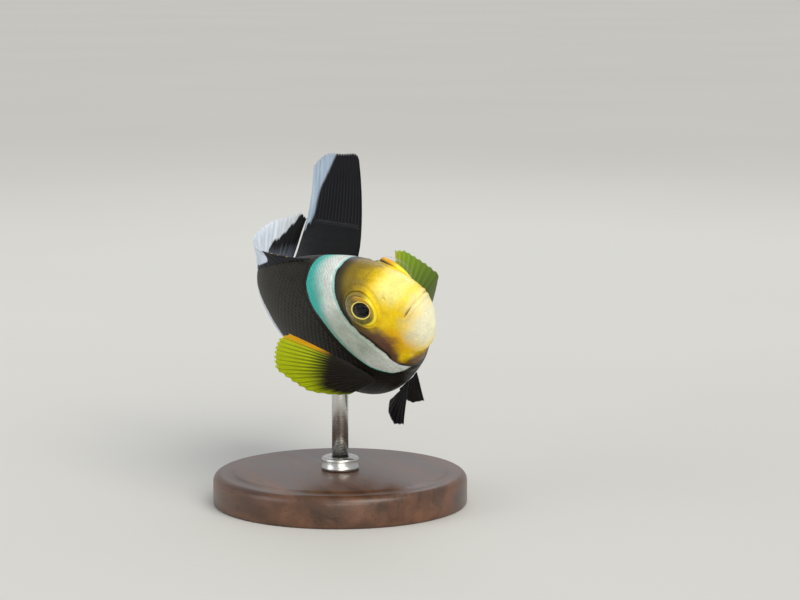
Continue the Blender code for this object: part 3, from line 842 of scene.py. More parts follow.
def scale_shape():
    """One scale, its root at the snout side: a thin domed plate with a rounded hind edge. The
    attribute holds its own place along and across, and its height as a share of the rise."""
    columns, rows = 5, 4
    local = []
    for layer in range(2):
        for i in range(rows):
            t = i / (rows - 1)
            half = mix(0.40, 0.52, math.sin(math.pi * min(t * 0.8, 0.5)))
            for j in range(columns):
                s = 2 * j / (columns - 1) - 1
                top = mix(-0.5, 1.0, t ** 0.8) * (1 - 0.35 * abs(s) ** 2)
                local.append((mix(-0.62, 0.60, t) - 0.34 * t * t * abs(s) ** 2.2,
                              half * s * (1 - 0.10 * t), top if layer == 0 else -0.9))

    def index(layer, i, j):
        return (layer * rows + i) * columns + j
    faces = [(index(0, i, j), index(0, i + 1, j), index(0, i + 1, j + 1), index(0, i, j + 1))
             for i in range(rows - 1) for j in range(columns - 1)]
    rim = rim_of(rows, columns)
    faces += [(index(0, i, j), index(1, i, j), index(1, k, m), index(0, k, m))
              for (i, j), (k, m) in zip(rim, rim[1:] + rim[:1])]
    faces.append([index(1, i, j) for i, j in rim])
    used = sorted({v for face in faces for v in face})
    order = {v: n for n, v in enumerate(used)}
    faces = [[order[v] for v in face] for face in faces]
    piece = new_object("scale_shape", [(*local[v][:2], 0.0) for v in used], faces,
                       {"local": [local[v] for v in used]})
    face_outwards(piece)
    return piece


def half_girth(along):
    """Angles and distances down one side, from the back to the belly."""
    angles = np.linspace(90.0, -90.0, 121)
    points = body_point(np.full(len(angles), along), angles)
    steps = np.linalg.norm(np.diff(points, axis=0), axis=1)
    return angles, np.concatenate(([0.0], np.cumsum(steps)))


def scale_roots(rows, start, end):
    """Roots of the scales, in quincunx: (along, angle, pitch) with the pitch in metres."""
    roots, along, shift = [], start, 0.0
    while along < end:
        angles, distance = half_girth(along)
        pitch = distance[-1] / rows
        for row in range(rows + 1):
            place = (row + shift) * pitch
            if place > distance[-1] + 1e-9:
                continue
            angle = float(np.interp(place, distance, angles))
            roots.append((along, angle, pitch))
            if -89.0 < angle < 89.0:
                roots.append((along, 180.0 - angle, pitch))
        along += SCALE_STEP * pitch / LENGTH
        shift = 0.5 - shift
    return np.array(roots)


def scale_tree():
    """Lays a scale on every root, wraps it to the skin and gives it its patch of the map."""
    coat = Tree("scale coat", Scale="Object", Skin="Object", Rise="Float", Length="Float",
                Width="Float", Patch="Float", Seed="Int")
    take, surface = coat.take, coat.object("Skin")
    root, local = coat.named("root"), coat.named("local")
    upright = add(coat.tree, "FunctionNodeAlignRotationToVector",
                  {"Vector": coat.named("outward")}, axis="Z")
    turned = add(coat.tree, "FunctionNodeAlignRotationToVector",
                 {"Rotation": upright, "Vector": coat.named("tailward")}, axis="X", pivot_axis="Z")
    pitch = root.split()[2]
    stretch = add(coat.tree, "ShaderNodeCombineXYZ",
                  (pitch * take["Length"], pitch * take["Width"], pitch))
    laid = coat.node("InstanceOnPoints",
                     {"Points": take["Geometry"], "Instance": coat.object("Scale"),
                      "Rotation": turned, "Scale": stretch})
    chance = add(coat.tree, "FunctionNodeRandomValue", {"Seed": take["Seed"]}, data_type="FLOAT")
    toned = coat.store(laid, "tone", chance, "FLOAT", "INSTANCE")
    real = coat.node("RealizeInstances", {"Geometry": toned})

    def on_skin(value):
        return coat.node("SampleNearestSurface", {"Mesh": surface, "Value": value},
                         data_type="FLOAT_VECTOR")
    nearest = coat.node("Proximity", {"Geometry": surface}, target_element="FACES")
    lift = on_skin(coat.node("InputNormal")).vector("SCALE", local.split()[2] * take["Rise"])
    placed = coat.node("SetPosition", {"Geometry": real,
                                       "Position": nearest["Position"].vector("ADD", lift)})
    placed = coat.store(placed, "straight", on_skin(coat.named("straight")), "FLOAT_VECTOR",
                        "POINT")
    patch = root.vector("ADD", local.vector("SCALE", take["Patch"]))
    return coat.finish(coat.store(placed, "OFBake", patch, "FLOAT2", "CORNER"))


def scaly_skin(colours):
    """Thin bony scales under clear slime: each one faintly ridged, paler or darker than its
    neighbours, with a bright wet edge."""
    look, tree = new_material("wet fish scales")
    whole, bar, _ = body_colours(tree, colours)
    back = attribute(tree, "local").split()[0]
    tone = attribute(tree, "tone", "Fac").span(0.0, 1.0, 0.94, 1.06)
    tone = tone * back.ease(0.10, 0.60, 1.0, 0.90)
    tone = add(tree, "ShaderNodeMix", (bar * 0.75, tone, 1.0))      # calmer on the white bar
    # Growth rings of a scale, drawn at 0.09 mm so that they show.
    rings = (back * 80.0).math("SINE")
    return principled(look, whole.vector("SCALE", tone), {
        "Roughness": 0.50, "IOR": 1.36, "Specular IOR Level": 0.22, "Coat Weight": 0.03,
        "Coat Roughness": 0.25, "Coat IOR": 1.34}, (rings, 0.12, 0.00002))


class CLOWNFISH_OT_scales(bpy.types.Operator):
    """Overlapping scales from the gill covers to the root of the tail fin"""
    bl_idname = "clownfish.scales"
    bl_label = "Scales"

    def execute(self, context):
        sizes = context.scene.clownfish_sizes
        look = scaly_skin(context.scene.clownfish_colours)
        shape, coat = scale_shape(), scale_tree()
        skin = bpy.data.objects["fish_skin"]

        def lay(name, roots, rise):
            along, angle, pitch = roots.T
            here = carry_straight(skin_point(along, angle))
            tailward = unit(carry_straight(skin_point(along + 0.003, angle)) - here)
            around = carry_straight(skin_point(along, angle + 1.0)) - here
            scales = new_object(name, here, [], {
                "outward": unit(np.cross(tailward, around)), "tailward": tailward,
                "root": np.stack((*skin_unwrap(along, angle), pitch), -1)})
            coat.put_on(scales, {"Scale": shape, "Skin": skin, "Rise": rise,
                                 "Length": SCALE_LENGTH, "Width": SCALE_WIDTH,
                                 "Patch": MAP_PATCH, "Seed": SCALE_SEED, "Material": look})
            settle(scales, "body_skin")

        def past(roots, edge):
            """How far the roots of scales lie behind an edge of the head bar."""
            height = body_point(roots[:, 0], roots[:, 1])[:, 2] / LENGTH
            return roots[:, 0] - ramp(height, edge)

        # Fine scales on the gill covers and nape, full-sized ones behind them.
        fine = scale_roots(sizes.scale_rows * 5 // 3, *FINE_COAT)
        fine = fine[(past(fine, BAR_FRONT) > 0.010) & (past(fine, BAR_REAR) < -0.004)]
        lay("scales_gill_covers", fine, sizes.scale_rise * FINE_RISE)
        full = scale_roots(sizes.scale_rows, *FULL_COAT)
        full = full[past(full, BAR_REAR) > 0.010]
        right, fore = np.cos(np.radians(full[:, 1])) > 1e-6, full[:, 0] < COAT_SPLIT
        for side, here in (("right", right), ("left", ~right)):
            lay(f"scales_{side}_fore", full[here & fore], sizes.scale_rise)
            lay(f"scales_{side}_aft", full[here & ~fore], sizes.scale_rise)
        bpy.data.objects.remove(shape)
        return {"FINISHED"}


# ---- Fins


def fin_root(along, y, z, direction, reach):
    """World points along rays: a root on the body, a direction (back, right, up) and a reach."""
    along, y, z, reach = np.broadcast_arrays(along, y, z, reach)
    offset = np.stack((np.zeros(along.shape), y, z), -1) + unit(direction) * reach[..., None]
    return carry(along, offset)


def blend_rays(t, *rays):
    """Directions between evenly spaced rays, in straight steps."""
    table = np.array(rays)
    places = np.linspace(0, 1, len(rays))
    return np.stack([np.interp(t, places, table[:, k]) for k in range(3)], -1)


FOLDED, RAISED = (0.95, 0.0, 0.30), (0.70, -0.50, 0.52)     # directions of the dorsal rays
# The middle fins: start, end, 0 on the back or 1 on the belly, the length of the rays from the
# first to the last as (place across, fraction of the body) and their directions (back, right, up).
MIDDLE_FINS = {
    "dorsal_fin_spiny": (0.290, 0.556, 0, ((0, 0.026), (0.15, 0.065), (0.7, 0.080), (1, 0.088)),
                         (FOLDED, RAISED)),
    "dorsal_fin_soft": (0.566, 0.918, 0, ((0, 0.084), (0.26, 0.116), (0.42, 0.131), (0.8, 0.150),
                                          (1, 0.107)),
                        (RAISED, (0.825, -0.58, 0.50), (0.79, -0.77, 0.06))),
    "anal_fin": (0.610, 0.885, 1, ((0, 0.045), (0.12, 0.090), (0.5, 0.145), (0.8, 0.160),
                                   (1, 0.090)),
                 ((0.85, -0.18, -0.60),)),
}


def middle_fin(name):
    """A dorsal or anal fin: points at a place across it (t) and a share of the rays' length (v)."""
    start, end, edge, reach, rays = MIDDLE_FINS[name]

    def surface(t, v):
        along = mix(start, end, t)
        foot = section(along)[edge] * LENGTH + (-GAP if edge else GAP)
        return fin_root(along, 0.0, foot, blend_rays(t, *rays), ramp(t, reach) * LENGTH * v)
    return surface


# Half heights of the tail fin's lobes from its root to its tip.
UPPER_LOBE = ((0, 0.074), (0.25, 0.069), (0.60, 0.064), (1, 0.058))
LOWER_LOBE = ((0, 0.074), (0.25, 0.070), (0.60, 0.064), (1, 0.054))


def tail_fin(t, v):
    """The tail fin, half closed and swept towards the back, its upper corner round."""
    height = 2 * t - 1
    corner = np.where(height > 0, 0.070 * np.abs(height) ** 3.2, 0.030 * height ** 8)
    along = 1.0 + GAP / LENGTH + (TAIL_REACH - 0.012 * (1 - height ** 2) - corner) * v
    half = np.where(height > 0, ramp(v, UPPER_LOBE), ramp(v, LOWER_LOBE)) * LENGTH
    swing = np.clip(v, 0, None) ** TAIL_SWEEP
    offset = np.stack((np.zeros(np.shape(t)), TAIL_CURL * swing,
                       half * height + TAIL_RISE * swing), -1)
    return carry(along, offset)


# Directions (back, out, up) and lengths of the pectoral rays from the first to the last, on the
# right side (1) and the left (-1).
SWEEPS = {1: ((0.10, 0.30, 0.86), (0.66, 0.38, 0.56), (0.95, 0.24, 0.02)),
          -1: ((0.29, 0.75, 0.52), (0.38, 0.92, 0.00), (0.63, 0.80, -0.17))}
REACHES = {1: ((0, 0.150), (0.12, 0.176), (0.5, 0.215), (0.78, 0.186), (1, 0.102)),
           -1: ((0, 0.150), (0.12, 0.172), (0.5, 0.200), (0.75, 0.160), (1, 0.078))}


def pectoral_fin(side):
    """A pectoral fin, rooted from 14 to 42 degrees below the middle of its side."""
    def surface(t, v):
        along = mix(0.312, 0.322, t)
        root = body_point(along, mix(-14.0, -42.0, t))
        direction = blend_rays(t, *SWEEPS[side]) * np.array((1.0, side, 1.0))
        return fin_root(along, side * (root[..., 1] + 2 * GAP), root[..., 2], direction,
                        ramp(t, REACHES[side]) * LENGTH * v)
    return surface


def pelvic_fin(side):
    """A pelvic fin, rooted under the belly 12 degrees to its side."""
    def surface(t, v):
        along = mix(0.330, 0.372, t)
        root = body_point(along, -78.0)
        reach = ramp(t, ((0, 0.150), (0.35, 0.175), (0.7, 0.145), (1, 0.090))) * LENGTH
        direction = np.stack((mix(0.80, 0.97, t), side * mix(0.15, 0.02, t),
                              mix(-0.55, -0.15, t)), -1)
        return fin_root(along, side * root[..., 1], root[..., 2] - 2 * GAP, direction, reach * v)
    return surface


WEB_STEPS, WEB_ROWS = 6, 34     # faces of the membrane between two rays, and points along a ray
BILLOW = 0.06 * MM              # how far the membrane bellies between two rays
FORKS = (0.42, 0.72)            # shares of its length where a soft ray forks
RAY_SIDES = 6
SPINE_POINTS, STEM_POINTS, BRANCH_POINTS = 12, 8, 7
BRANCH_GAP, TWIG_GAP = (0.17, 0.24), 0.085      # off the ray's line, in gaps between rays
PECTORAL_RAYS, PELVIC_RAYS = 18, 7


def fin_sheet(surface, t, v, ripple):
    """Points of a fin's plain sheet, the direction square to it and how far it ripples that way."""
    nudge = 0.004
    side = surface(np.clip(t + nudge, 0, 1), v) - surface(np.clip(t - nudge, 0, 1), v)
    up = surface(t, v + nudge) - surface(t, v - nudge)
    wave = ripple * smooth(v, 0.1, 1.0) * np.sin(t * 9.0 + v * 3.0)
    return surface(t, v), unit(np.cross(side, up)), wave


def fin_membrane(surface, rays, start, notch, ripple, thick):
    """A thin closed web between the rays, its margin drawn in a little between their tips."""
    rows = WEB_ROWS
    t = np.linspace(0, 1, (rays - 1) * WEB_STEPS + 1)
    v = mix(start, 1.0, np.linspace(0, 1, rows) ** 0.9)
    t, v = np.meshgrid(t, v, indexing="ij")
    web = np.abs(np.sin(np.pi * t * (rays - 1)))
    level = np.where(v > 0, v * (1 - notch * web ** 0.8 * smooth(v, 0.2, 1.0)), v)
    points, normal, wave = fin_sheet(surface, t, level, ripple)
    billow = BILLOW * web * smooth(level, 0.05, 0.4)
    middle = points + normal * (wave + billow)[..., None]
    half = (thick * mix(1.0, 0.55, smooth(level, 0.0, 1.0)) / 2)[..., None]
    count, columns = t.size, len(t)
    faces = []
    for base in (0, count):
        for i in range(columns - 1):
            for a in range(base + i * rows, base + (i + 1) * rows - 1):
                quad = (a, a + 1, a + rows + 1, a + rows)
                faces.append(quad if base else quad[::-1])
    rim = [i * rows + j for i, j in rim_of(columns, rows)]
    faces += [(a, b, count + b, count + a) for a, b in zip(rim, rim[1:] + rim[:1])]
    fin = np.stack((t, level, np.zeros(t.shape)), -1).reshape(-1, 3)
    sheets = np.stack((middle + normal * half, middle - normal * half)).reshape(-1, 3)
    return sheets, faces, np.vstack((fin, fin))


def ray_lines(rays, start, stiff, forks):
    """Lines of every ray as (ray place, heights, shares of the thickness): a soft ray forks twice
    and a stiff spine stays whole."""
    lines, gap, (first, second) = [], 1.0 / (rays - 1), forks
    for ray in range(rays):
        t = ray * gap
        if ray < stiff:
            v = np.linspace(start, 1.01, SPINE_POINTS)
            lines.append((np.full(len(v), t), v, mix(1.0, 0.30, smooth(v, 0.0, 1.0))))
            continue
        v = np.linspace(start, first, STEM_POINTS)
        lines.append((np.full(len(v), t), v, mix(1.0, 0.78, smooth(v, 0.0, first))))
        for way in (-1, 1):
            if not 0 <= ray + way < rays:
                continue
            v = np.linspace(first - 0.02, second, BRANCH_POINTS)
            part = np.clip((v - first) / (second - first), 0, 1)
            lines.append((t + way * gap * BRANCH_GAP[0] * part, v, mix(0.72, 0.50, part)))
            for twig in (-1, 1):
                v = np.linspace(second - 0.02, 0.995, BRANCH_POINTS)
                part = np.clip((v - second) / (1 - second), 0, 1)
                place = t + gap * (way * mix(*BRANCH_GAP, part) + twig * TWIG_GAP * part)
                lines.append((place, v, mix(0.46, 0.22, part)))
    return lines


def fin_tree():
    """Turns the ray lines into tapered round rays and joins them to the membrane."""
    fin = Tree("fin rays", Rays="Object", Radius="Float", Sides="Int")
    radius = fin.named("share").split()[0] * fin.take["Radius"]
    tubes = fin.node("CurveToMesh", {
        "Curve": fin.node("MeshToCurve", {"Mesh": fin.object("Rays")}),
        "Profile Curve": fin.node("CurvePrimitiveCircle", {"Resolution": fin.take["Sides"],
                                                           "Radius": 1.0}, mode="RADIUS"),
        "Scale": radius, "Fill Caps": True})
    joined = fin.node("JoinGeometry")
    for part in (tubes, fin.take["Geometry"]):
        fin.tree.links.new(part.socket, joined.node.inputs[0])
    return fin.finish(fin.node("SetShadeSmooth", {"Geometry": joined, "Shade Smooth": True}))


def build_fin(node, slot, surface, rays, look, tree, radius, thick, stiff, start, notch, ripple):
    """One fin: its membrane, and its rays as tapered tubes on it. It has that many stiff rays, is
    rooted from the start's share of the length, notched by a share and rippled by millimetres."""
    name = node.replace("_fin", "") + "_web_and_rays"
    points, faces, fin = fin_membrane(surface, rays, start, notch, ripple * MM, thick)
    piece = new_object(name, points, faces, {"fin": fin})
    face_outwards(piece)
    spots, edges, places, shares = [], [], [], []
    for t, v, share in ray_lines(rays, start, stiff, FORKS):
        t = np.clip(t, 0.0, 1.0)
        here, normal, wave = fin_sheet(surface, t, v, ripple * MM)
        edges += [(len(spots) + i, len(spots) + i + 1) for i in range(len(t) - 1)]
        spots += list(here + normal * wave[..., None])
        places += [(a, b, 1.0) for a, b in zip(t, v)]
        shares += [(s, 0.0, 0.0) for s in share]
    lines = new_object(name + "_lines", spots, [], {"fin": places, "share": shares}, edges)
    tree.put_on(piece, {"Rays": lines, "Radius": radius, "Sides": RAY_SIDES, "Material": look})
    bpy.data.objects.remove(lines)
    settle(piece, slot, node)


def fin_fields(tree, rays):
    """Place across a fin, share of the ray's length, whether on a ray, streaks that run out along
    the rays and how far they are from their mean."""
    place = attribute(tree, "fin")
    streak = place.stretched((rays * 2.0, 2.2, 0.0)).noise(1.0, 3.0)
    return (*place.split(), streak, streak - 0.5)


# Where the dark fins turn white: (place across the fin, share of the ray's length) pairs; for the
# tail fin (share of the length, place across) pairs, as its white runs along the upper edge.
DARK_FINS = {
    "dorsal_fin_spiny": ((0, 1), (0.50, 1), (0.56, 0.75), (0.62, 0.30), (0.68, 0.05), (1, 0)),
    "dorsal_fin_soft": ((0, 0.0), (0.33, 0.02), (0.41, 0.20), (0.45, 0.44), (0.52, 0.55),
                        (0.60, 0.62), (0.68, 0.74), (0.78, 0.87), (0.84, 1.0), (1, 1.0)),
    "anal_fin": ((0, 1), (0.3, 0.97), (1, 0.96)),
    "tail_fin": ((0, 1), (0.2, 0.95), (0.34, 0.90), (0.50, 0.885), (0.62, 0.85), (0.72, 0.78),
                 (0.86, 0.68), (1, 0.57)),
    "pelvic_fin": ((0, 1), (0.5, 0.97), (1, 0.96)),
}


def dark_fin(name, colours, rays):
    """Skin web of a dark fin: nearly black, thin and a little see-through, with each ray paler
    than the web and a bluish-white margin streaked along the rays; on the tail fin that margin is
    greyed with painted shade."""
    look, tree = new_material("fin web, " + name.replace("_", " "))
    across, up, ray, streak, uneven = fin_fields(tree, rays)
    if name == "tail_fin":
        # The tail fin's margin is greyed far more than the others' as painted shade.
        past, fringe, margin_greys_and_shade = across - up.curve(DARK_FINS[name]), 0.05, (0.70, 1.0)
    else:
        past, fringe, margin_greys_and_shade = up - across.curve(DARK_FINS[name]), 0.22, (0.0, 0.45)
    dark = ray.blend(colours.fin, "#1C1C22")
    pale = streak.span(0.35, 0.68, *margin_greys_and_shade).blend(colours.margin, "#8496A8")
    if name == "dorsal_fin_soft":
        # Painted haze: the saddle bar's pale light painted as showing through the foot of the fin.
        # The
        #         white dulls to the last rays.
        foot = (uneven * 0.5 + up).span(0.10, 0.45, 0.60, 0.0) * across.span(0.90, 0.98, 1.0, 0.0)
        dark = foot.blend(dark, "#8E97A8")
        pale = across.span(0.45, 1.0, 0.0, 0.6).blend(pale, "#A09E94")
    whole = (uneven * fringe + past).ease(-0.03, 0.04).blend(dark, pale)
    if name == "dorsal_fin_spiny":      # the spines' tips run in a thin tan line
        crest = up.ease(0.88, 0.97, 0.0, 0.9) * across.span(0.40, 0.52, 1.0, 0.0)
        whole = crest.blend(whole, "#B99A5A")
    return principled(look, whole, {
        "Roughness": 0.48, "IOR": 1.36, "Specular IOR Level": 0.20, "Subsurface Weight": 0.08,
        "Subsurface Radius": (1.0, 0.8, 0.6), "Subsurface Scale": 0.0004, "Coat Weight": 0.03,
        "Coat Roughness": 0.25}, (streak, 0.25, 0.0001))


# Where the dark root of the pectoral fins ends: (place across, share of the ray's length) pairs.
PECTORAL_DARK = ((0, 0.36), (0.25, 0.45), (0.5, 0.52), (0.75, 0.78), (1, 1.0))


def pectoral_web(colours, rays, name, bright, golden, painted_shade_of_last_rays):
    """Skin web of the pectoral fins: bright yellow-green rays in a thinner, duller web, black at
    the root, with the first rays orange-yellow, and on the far fin painted shade over the last
    rays."""
    look, tree = new_material("fin web, pectoral " + name)
    across, up, ray, streak, uneven = fin_fields(tree, rays)
    web = (across * ((rays - 1) * math.pi)).math("SINE").math("ABSOLUTE")
    web = web * up.span(0.25, 0.95, 0.95, 0.30) * ray.span(0.0, 1.0, 1.0, 0.0)
    green = web.blend(bright, "#2C3806")
    green = across.ease(0.02, 0.13, golden, 0.0).blend(green, colours.leading)
    # Painted shade: the far fin's last rays darkened.
    green = across.ease(-0.05, 0.60, 0.0, painted_shade_of_last_rays).blend(green, "#1F3208")
    root = (uneven * 0.30 + (up - across.curve(PECTORAL_DARK))).ease(-0.16, 0.16, 1.0, 0.0)
    return principled(look, root.blend(green, "#15110A"), {
        "Roughness": 0.45, "IOR": 1.36, "Subsurface Weight": 0.20,
        "Subsurface Radius": (1.0, 1.0, 0.4), "Subsurface Scale": 0.0005, "Coat Weight": 0.1,
        "Coat Roughness": 0.25}, (streak, 0.2, 0.0001))


class CLOWNFISH_OT_fins(bpy.types.Operator):
    """Dorsal, anal, tail, pectoral and pelvic fins, each a web on forked rays"""
    bl_idname = "clownfish.fins"
    bl_label = "Fins"

    def execute(self, context):
        colours, sizes = context.scene.clownfish_colours, context.scene.clownfish_sizes
        tree, web, ray = fin_tree(), sizes.membrane, sizes.ray
        # Name, rays, their radius, thickness of the web, then its stiff rays, start, notch, ripple.
        for name, rays, radius, thick, shape in (
                ("dorsal_fin_spiny", 10, sizes.spine, web * 2, (10, -0.25, 0.16, 0.0)),
                ("dorsal_fin_soft", 15, ray * 1.15, web, (0, -0.10, 0.035, 0.10)),
                ("anal_fin", 14, ray * 1.1, web, (2, -0.12, 0.03, 0.10)),
                ("tail_fin", 17, ray * 1.3, web * 1.2, (0, -0.10, 0.02, 0.12))):
            surface = tail_fin if name == "tail_fin" else middle_fin(name)
            build_fin(name, "dark_fin", surface, rays, dark_fin(name, colours, rays), tree, radius,
                      thick, *shape)
        dark = dark_fin("pelvic_fin", colours, PELVIC_RAYS)
        # Side, its name, green of the web (the left one darkened with painted shade), how golden
        # its first
        #         rays are, and how much painted shade darkens the last ones.
        for side, name, bright, golden, painted_shade_of_last_rays in (
                (1, "right", colours.pectoral, 1.0, 0.0),
                (-1, "left", colours.far_pectoral, 0.15, 0.8)):
            green = pectoral_web(colours, PECTORAL_RAYS, name, bright, golden, painted_shade_of_last_rays)
            build_fin("pectoral_fin_" + name, "pectoral_fin", pectoral_fin(side), PECTORAL_RAYS,
                      green, tree, ray, web, 1, -0.07, 0.028, 0.12)
            build_fin("pelvic_fin_" + name, "dark_fin", pelvic_fin(side), PELVIC_RAYS, dark, tree,
                      ray * 1.2, web * 1.2, 1, -0.06, 0.03, 0.08)
        return {"FINISHED"}


# ---- Eyes

EYE_SIDES = 96
PUPIL = 1.70                    # millimetres from the eye's axis
LONGER = 0.13                   # how much longer than round the pupil is towards the snout
DRAWN_OUT = (1.8, 3.0)          # distances from the axis over which that dies away
LEFT_EYE_STAND = 0.45           # how much further out the left eye stands, millimetres
AHEAD = 0.26                    # how far forward of the eye's axis the pupil sits, millimetres
# Turned outlines as (distance from the axis, height) in millimetres, front to back.
EYEBALL = ((0.0, 0.42), (0.5, 0.43), (1.1, 0.45), (1.48, 0.49), (1.58, 0.56), (1.66, 0.66),
           (1.80, 0.73), (1.96, 0.74), (2.18, 0.70), (2.45, 0.66), (2.75, 0.60), (2.95, 0.54),
           (3.10, 0.46), (3.22, 0.36), (3.32, 0.20), (3.38, 0.00), (3.39, -0.25), (3.30, -0.70),
           (3.00, -1.20), (2.40, -1.70), (1.50, -2.10), (0.70, -2.28), (0.0, -2.33))
CORNEA = ((0.0, 1.90), (0.5, 1.88), (1.0, 1.81), (1.5, 1.69), (2.0, 1.50), (2.4, 1.28),
          (2.75, 1.02), (3.0, 0.78), (3.20, 0.50), (3.30, 0.27), (3.22, 0.25), (3.08, 0.50),
          (2.92, 0.70), (2.68, 0.92), (2.35, 1.17), (1.95, 1.39), (1.45, 1.58), (1.0, 1.70),
          (0.5, 1.77), (0.0, 1.79))
LENS = ((0.0, 0.96), (0.40, 0.94), (0.80, 0.86), (1.15, 0.74), (1.38, 0.60), (1.46, 0.46),
        (0.0, 0.40))


def turned_eye(name, profile, side, look):
    """A shape turned about an eye's axis, its own coordinates kept for its colours."""
    centre, out, fore, up = eye_axes(side)
    around, inner = EYE_SIDES, [p for p in profile if p[0] > 0]
    turn = np.arange(around) * 2 * math.pi / around
    own = [np.stack((r * np.cos(turn), r * np.sin(turn), np.full(around, h)), -1)
           for r, h in inner]
    own = np.vstack((*own, (0.0, 0.0, profile[0][1]), (0.0, 0.0, profile[-1][1])))
    # The pupil and its ring are drawn out towards the snout; the rim stays round.
    inside = (1 - smooth(np.linalg.norm(own[:, :2], axis=1), *DRAWN_OUT))[:, None]
    drawn = LONGER * inside
    stand = LEFT_EYE_STAND if side < 0 else 0.0
    ahead = own[:, :1] * (1 + drawn) + AHEAD * inside
    straight = centre + (ahead * fore + own[:, 1:2] * (1 - drawn) * up
                         + (own[:, 2:] + stand) * out) * MM
    piece = new_object(name, carry_straight(straight), closed_tube(len(inner), around),
                       {"eye": own})
    face_outwards(piece)
    piece.data.materials.append(look)
    return piece


def eyeball_look(colours, name, upper):
    """Iris of a reef fish: silvery tissue under olive and gold pigment, a thin bright ring at the
    pupil and painted shade on the ball where it sinks into the orbit."""
    look, tree = new_material("iris tissue, " + name)
    place = attribute(tree, "eye")
    fore, up, height = place.split()
    gap = place.vector("MULTIPLY", (1.0, 1.0, 0.0)).vector("LENGTH")["Value"]
    gap = (place.noise(7.0, 3.0) - 0.5) * 0.22 + gap
    # Iris ground: olive, with gold towards the upper front that is partly pigment and partly
    # painted
    #     light on the lit side; dark brown in blotches.
    ground = place.noise(1.7, 4.0).span(0.40, 0.62, 0.0, 0.85).blend(colours.iris, "#4A4318")
    ground = (up * 0.10 + fore).ease(-0.2, 2.0, 0.0, 0.90).blend(ground, "#C49410")
    # Bright crescent at the front and lower rim.
    crescent = (up * -0.8 + fore).ease(0.2, 1.8) * gap.ease(2.62, 2.84)
    ground = crescent.blend(ground, "#FFF02E")
    # Brown ring outside the bright one, then the bright ring and the pupil.
    ground = gap.ease(1.96, 2.20, 0.45, 0.0).blend(ground, "#3A2E0C")
    ground = gap.span(1.91, 1.99, 1.0, 0.0).blend(ground, colours.iris_ring)
    whole = gap.span(PUPIL, PUPIL + 0.06, 1.0, 0.0).blend(ground, "#05060A")
    # Outer rim: bright yellow at the front and below, the given colour above, with a painted shadow
    # of
    #     the orbit's upper fold as a dark line inside it.
    skyward = (fore * -0.35 + up).ease(-1.2, 1.6)
    whole = gap.span(2.96, 3.06).blend(whole, skyward.blend("#FFEE2A", upper))
    line = gap.span(2.84, 2.92) * gap.span(2.96, 3.04, 1.0, 0.0) * skyward
    whole = line.blend(whole, "#3A3210")
    # Painted shade where the ball sinks under the orbit's rim.
    whole = height.span(0.05, -0.45).blend(whole, "#2A1C08")
    return principled(look, whole, {"Roughness": 0.42, "IOR": 1.36, "Coat Weight": 0.1,
                                    "Coat Roughness": 0.1})


def clear_cornea():
    """Cornea: a clear wet film that shows only by what it reflects."""
    look, tree = new_material("clear cornea")
    gloss = add(tree, "ShaderNodeBsdfGlossy", {"Color": (1, 1, 1, 1), "Roughness": 0.04})
    clear = add(tree, "ShaderNodeBsdfTransparent", {"Color": (1, 1, 1, 1)})
    glance = add(tree, "ShaderNodeLayerWeight", {"Blend": 0.5})["Facing"]
    glance = glance.math("POWER", 4.0).span(0.0, 1.0, 0.006, 0.30)
    shader = add(tree, "ShaderNodeMixShader", (glance, clear, gloss))
    add(tree, "ShaderNodeOutputMaterial", {"Surface": shader})
    return look


def black_lens():
    """Lens in the pupil: glassy and so deep that it looks blue-black."""
    look, _ = new_material("eye lens")
    return principled(look, "#05050A", {"Roughness": 0.12, "IOR": 1.42,
                                        "Specular IOR Level": 0.15})


class CLOWNFISH_OT_eyes(bpy.types.Operator):
    """Eyes: ball with iris, lens and clear cornea"""
    bl_idname = "clownfish.eyes"
    bl_label = "Eyes"

    def execute(self, context):
        cornea, lens = clear_cornea(), black_lens()
        for side, name, upper in ((1, "right", "#8A7420"), (-1, "left", "#E8A812")):
            iris = eyeball_look(context.scene.clownfish_colours, name, upper)
            settle(turned_eye("eyeball_" + name, EYEBALL, side, iris), "eye", "eye_" + name)
            settle(turned_eye("lens_" + name, LENS, side, lens), "eye")
            settle(turned_eye("cornea_" + name, CORNEA, side, cornea), "eye")
        return {"FINISHED"}


# ---- Stand


def turned_piece(name, profile, look, steps):
    """A piece turned about the stand's upright axis from (radius, height) points in metres."""
    edges = [(i, i + 1) for i in range(len(profile) - 1)]
    piece = new_object(name, [(r, 0.0, h) for r, h in profile], [], edges=edges)
    lathe = piece.modifiers.new("turned", "SCREW")
    lathe.steps = lathe.render_steps = steps
    lathe.use_merge_vertices, lathe.merge_threshold = True, 0.000001
    make_plain(piece)
    face_outwards(piece)
    piece.data.materials.append(look)
    return piece


def bead(radius, height, round_by, start, end, steps=7):
    """Points of a round edge of a turned outline: degrees from outwards, going down."""
    turns = np.radians(np.linspace(start, end, steps))
    return [(radius + round_by * math.cos(a), height + round_by * math.sin(a)) for a in turns]


PLANK_TURN = 0.35               # radians from the base's middle line to the grain


def walnut_look(colours):
    """Turned walnut under oil: satin, with a broad figure and dark open grain in lines about 1 mm
    apart along the plank."""
    look, tree = new_material("oiled walnut")
    place = add(tree, "ShaderNodeTexCoord")["Object"]
    figure = place.stretched((90.0, 9.0, 90.0), PLANK_TURN).noise(3.2, 5.0, 0.6)
    pores = place.stretched((2600.0, 160.0, 2600.0), PLANK_TURN).noise(1.0, 2.0)
    pores = pores.span(0.60, 0.72, 0.0, 0.55)
    wood = pores.blend(figure.span(0.30, 0.72).blend("#3A2417", colours.walnut), "#1E120B")
    return principled(look, wood, {
        "Roughness": figure.span(0.3, 0.7, 0.34, 0.46), "IOR": 1.5, "Coat Weight": 0.25,
        "Coat Roughness": 0.25}, (pores, 0.25, 0.0001), invert=True)


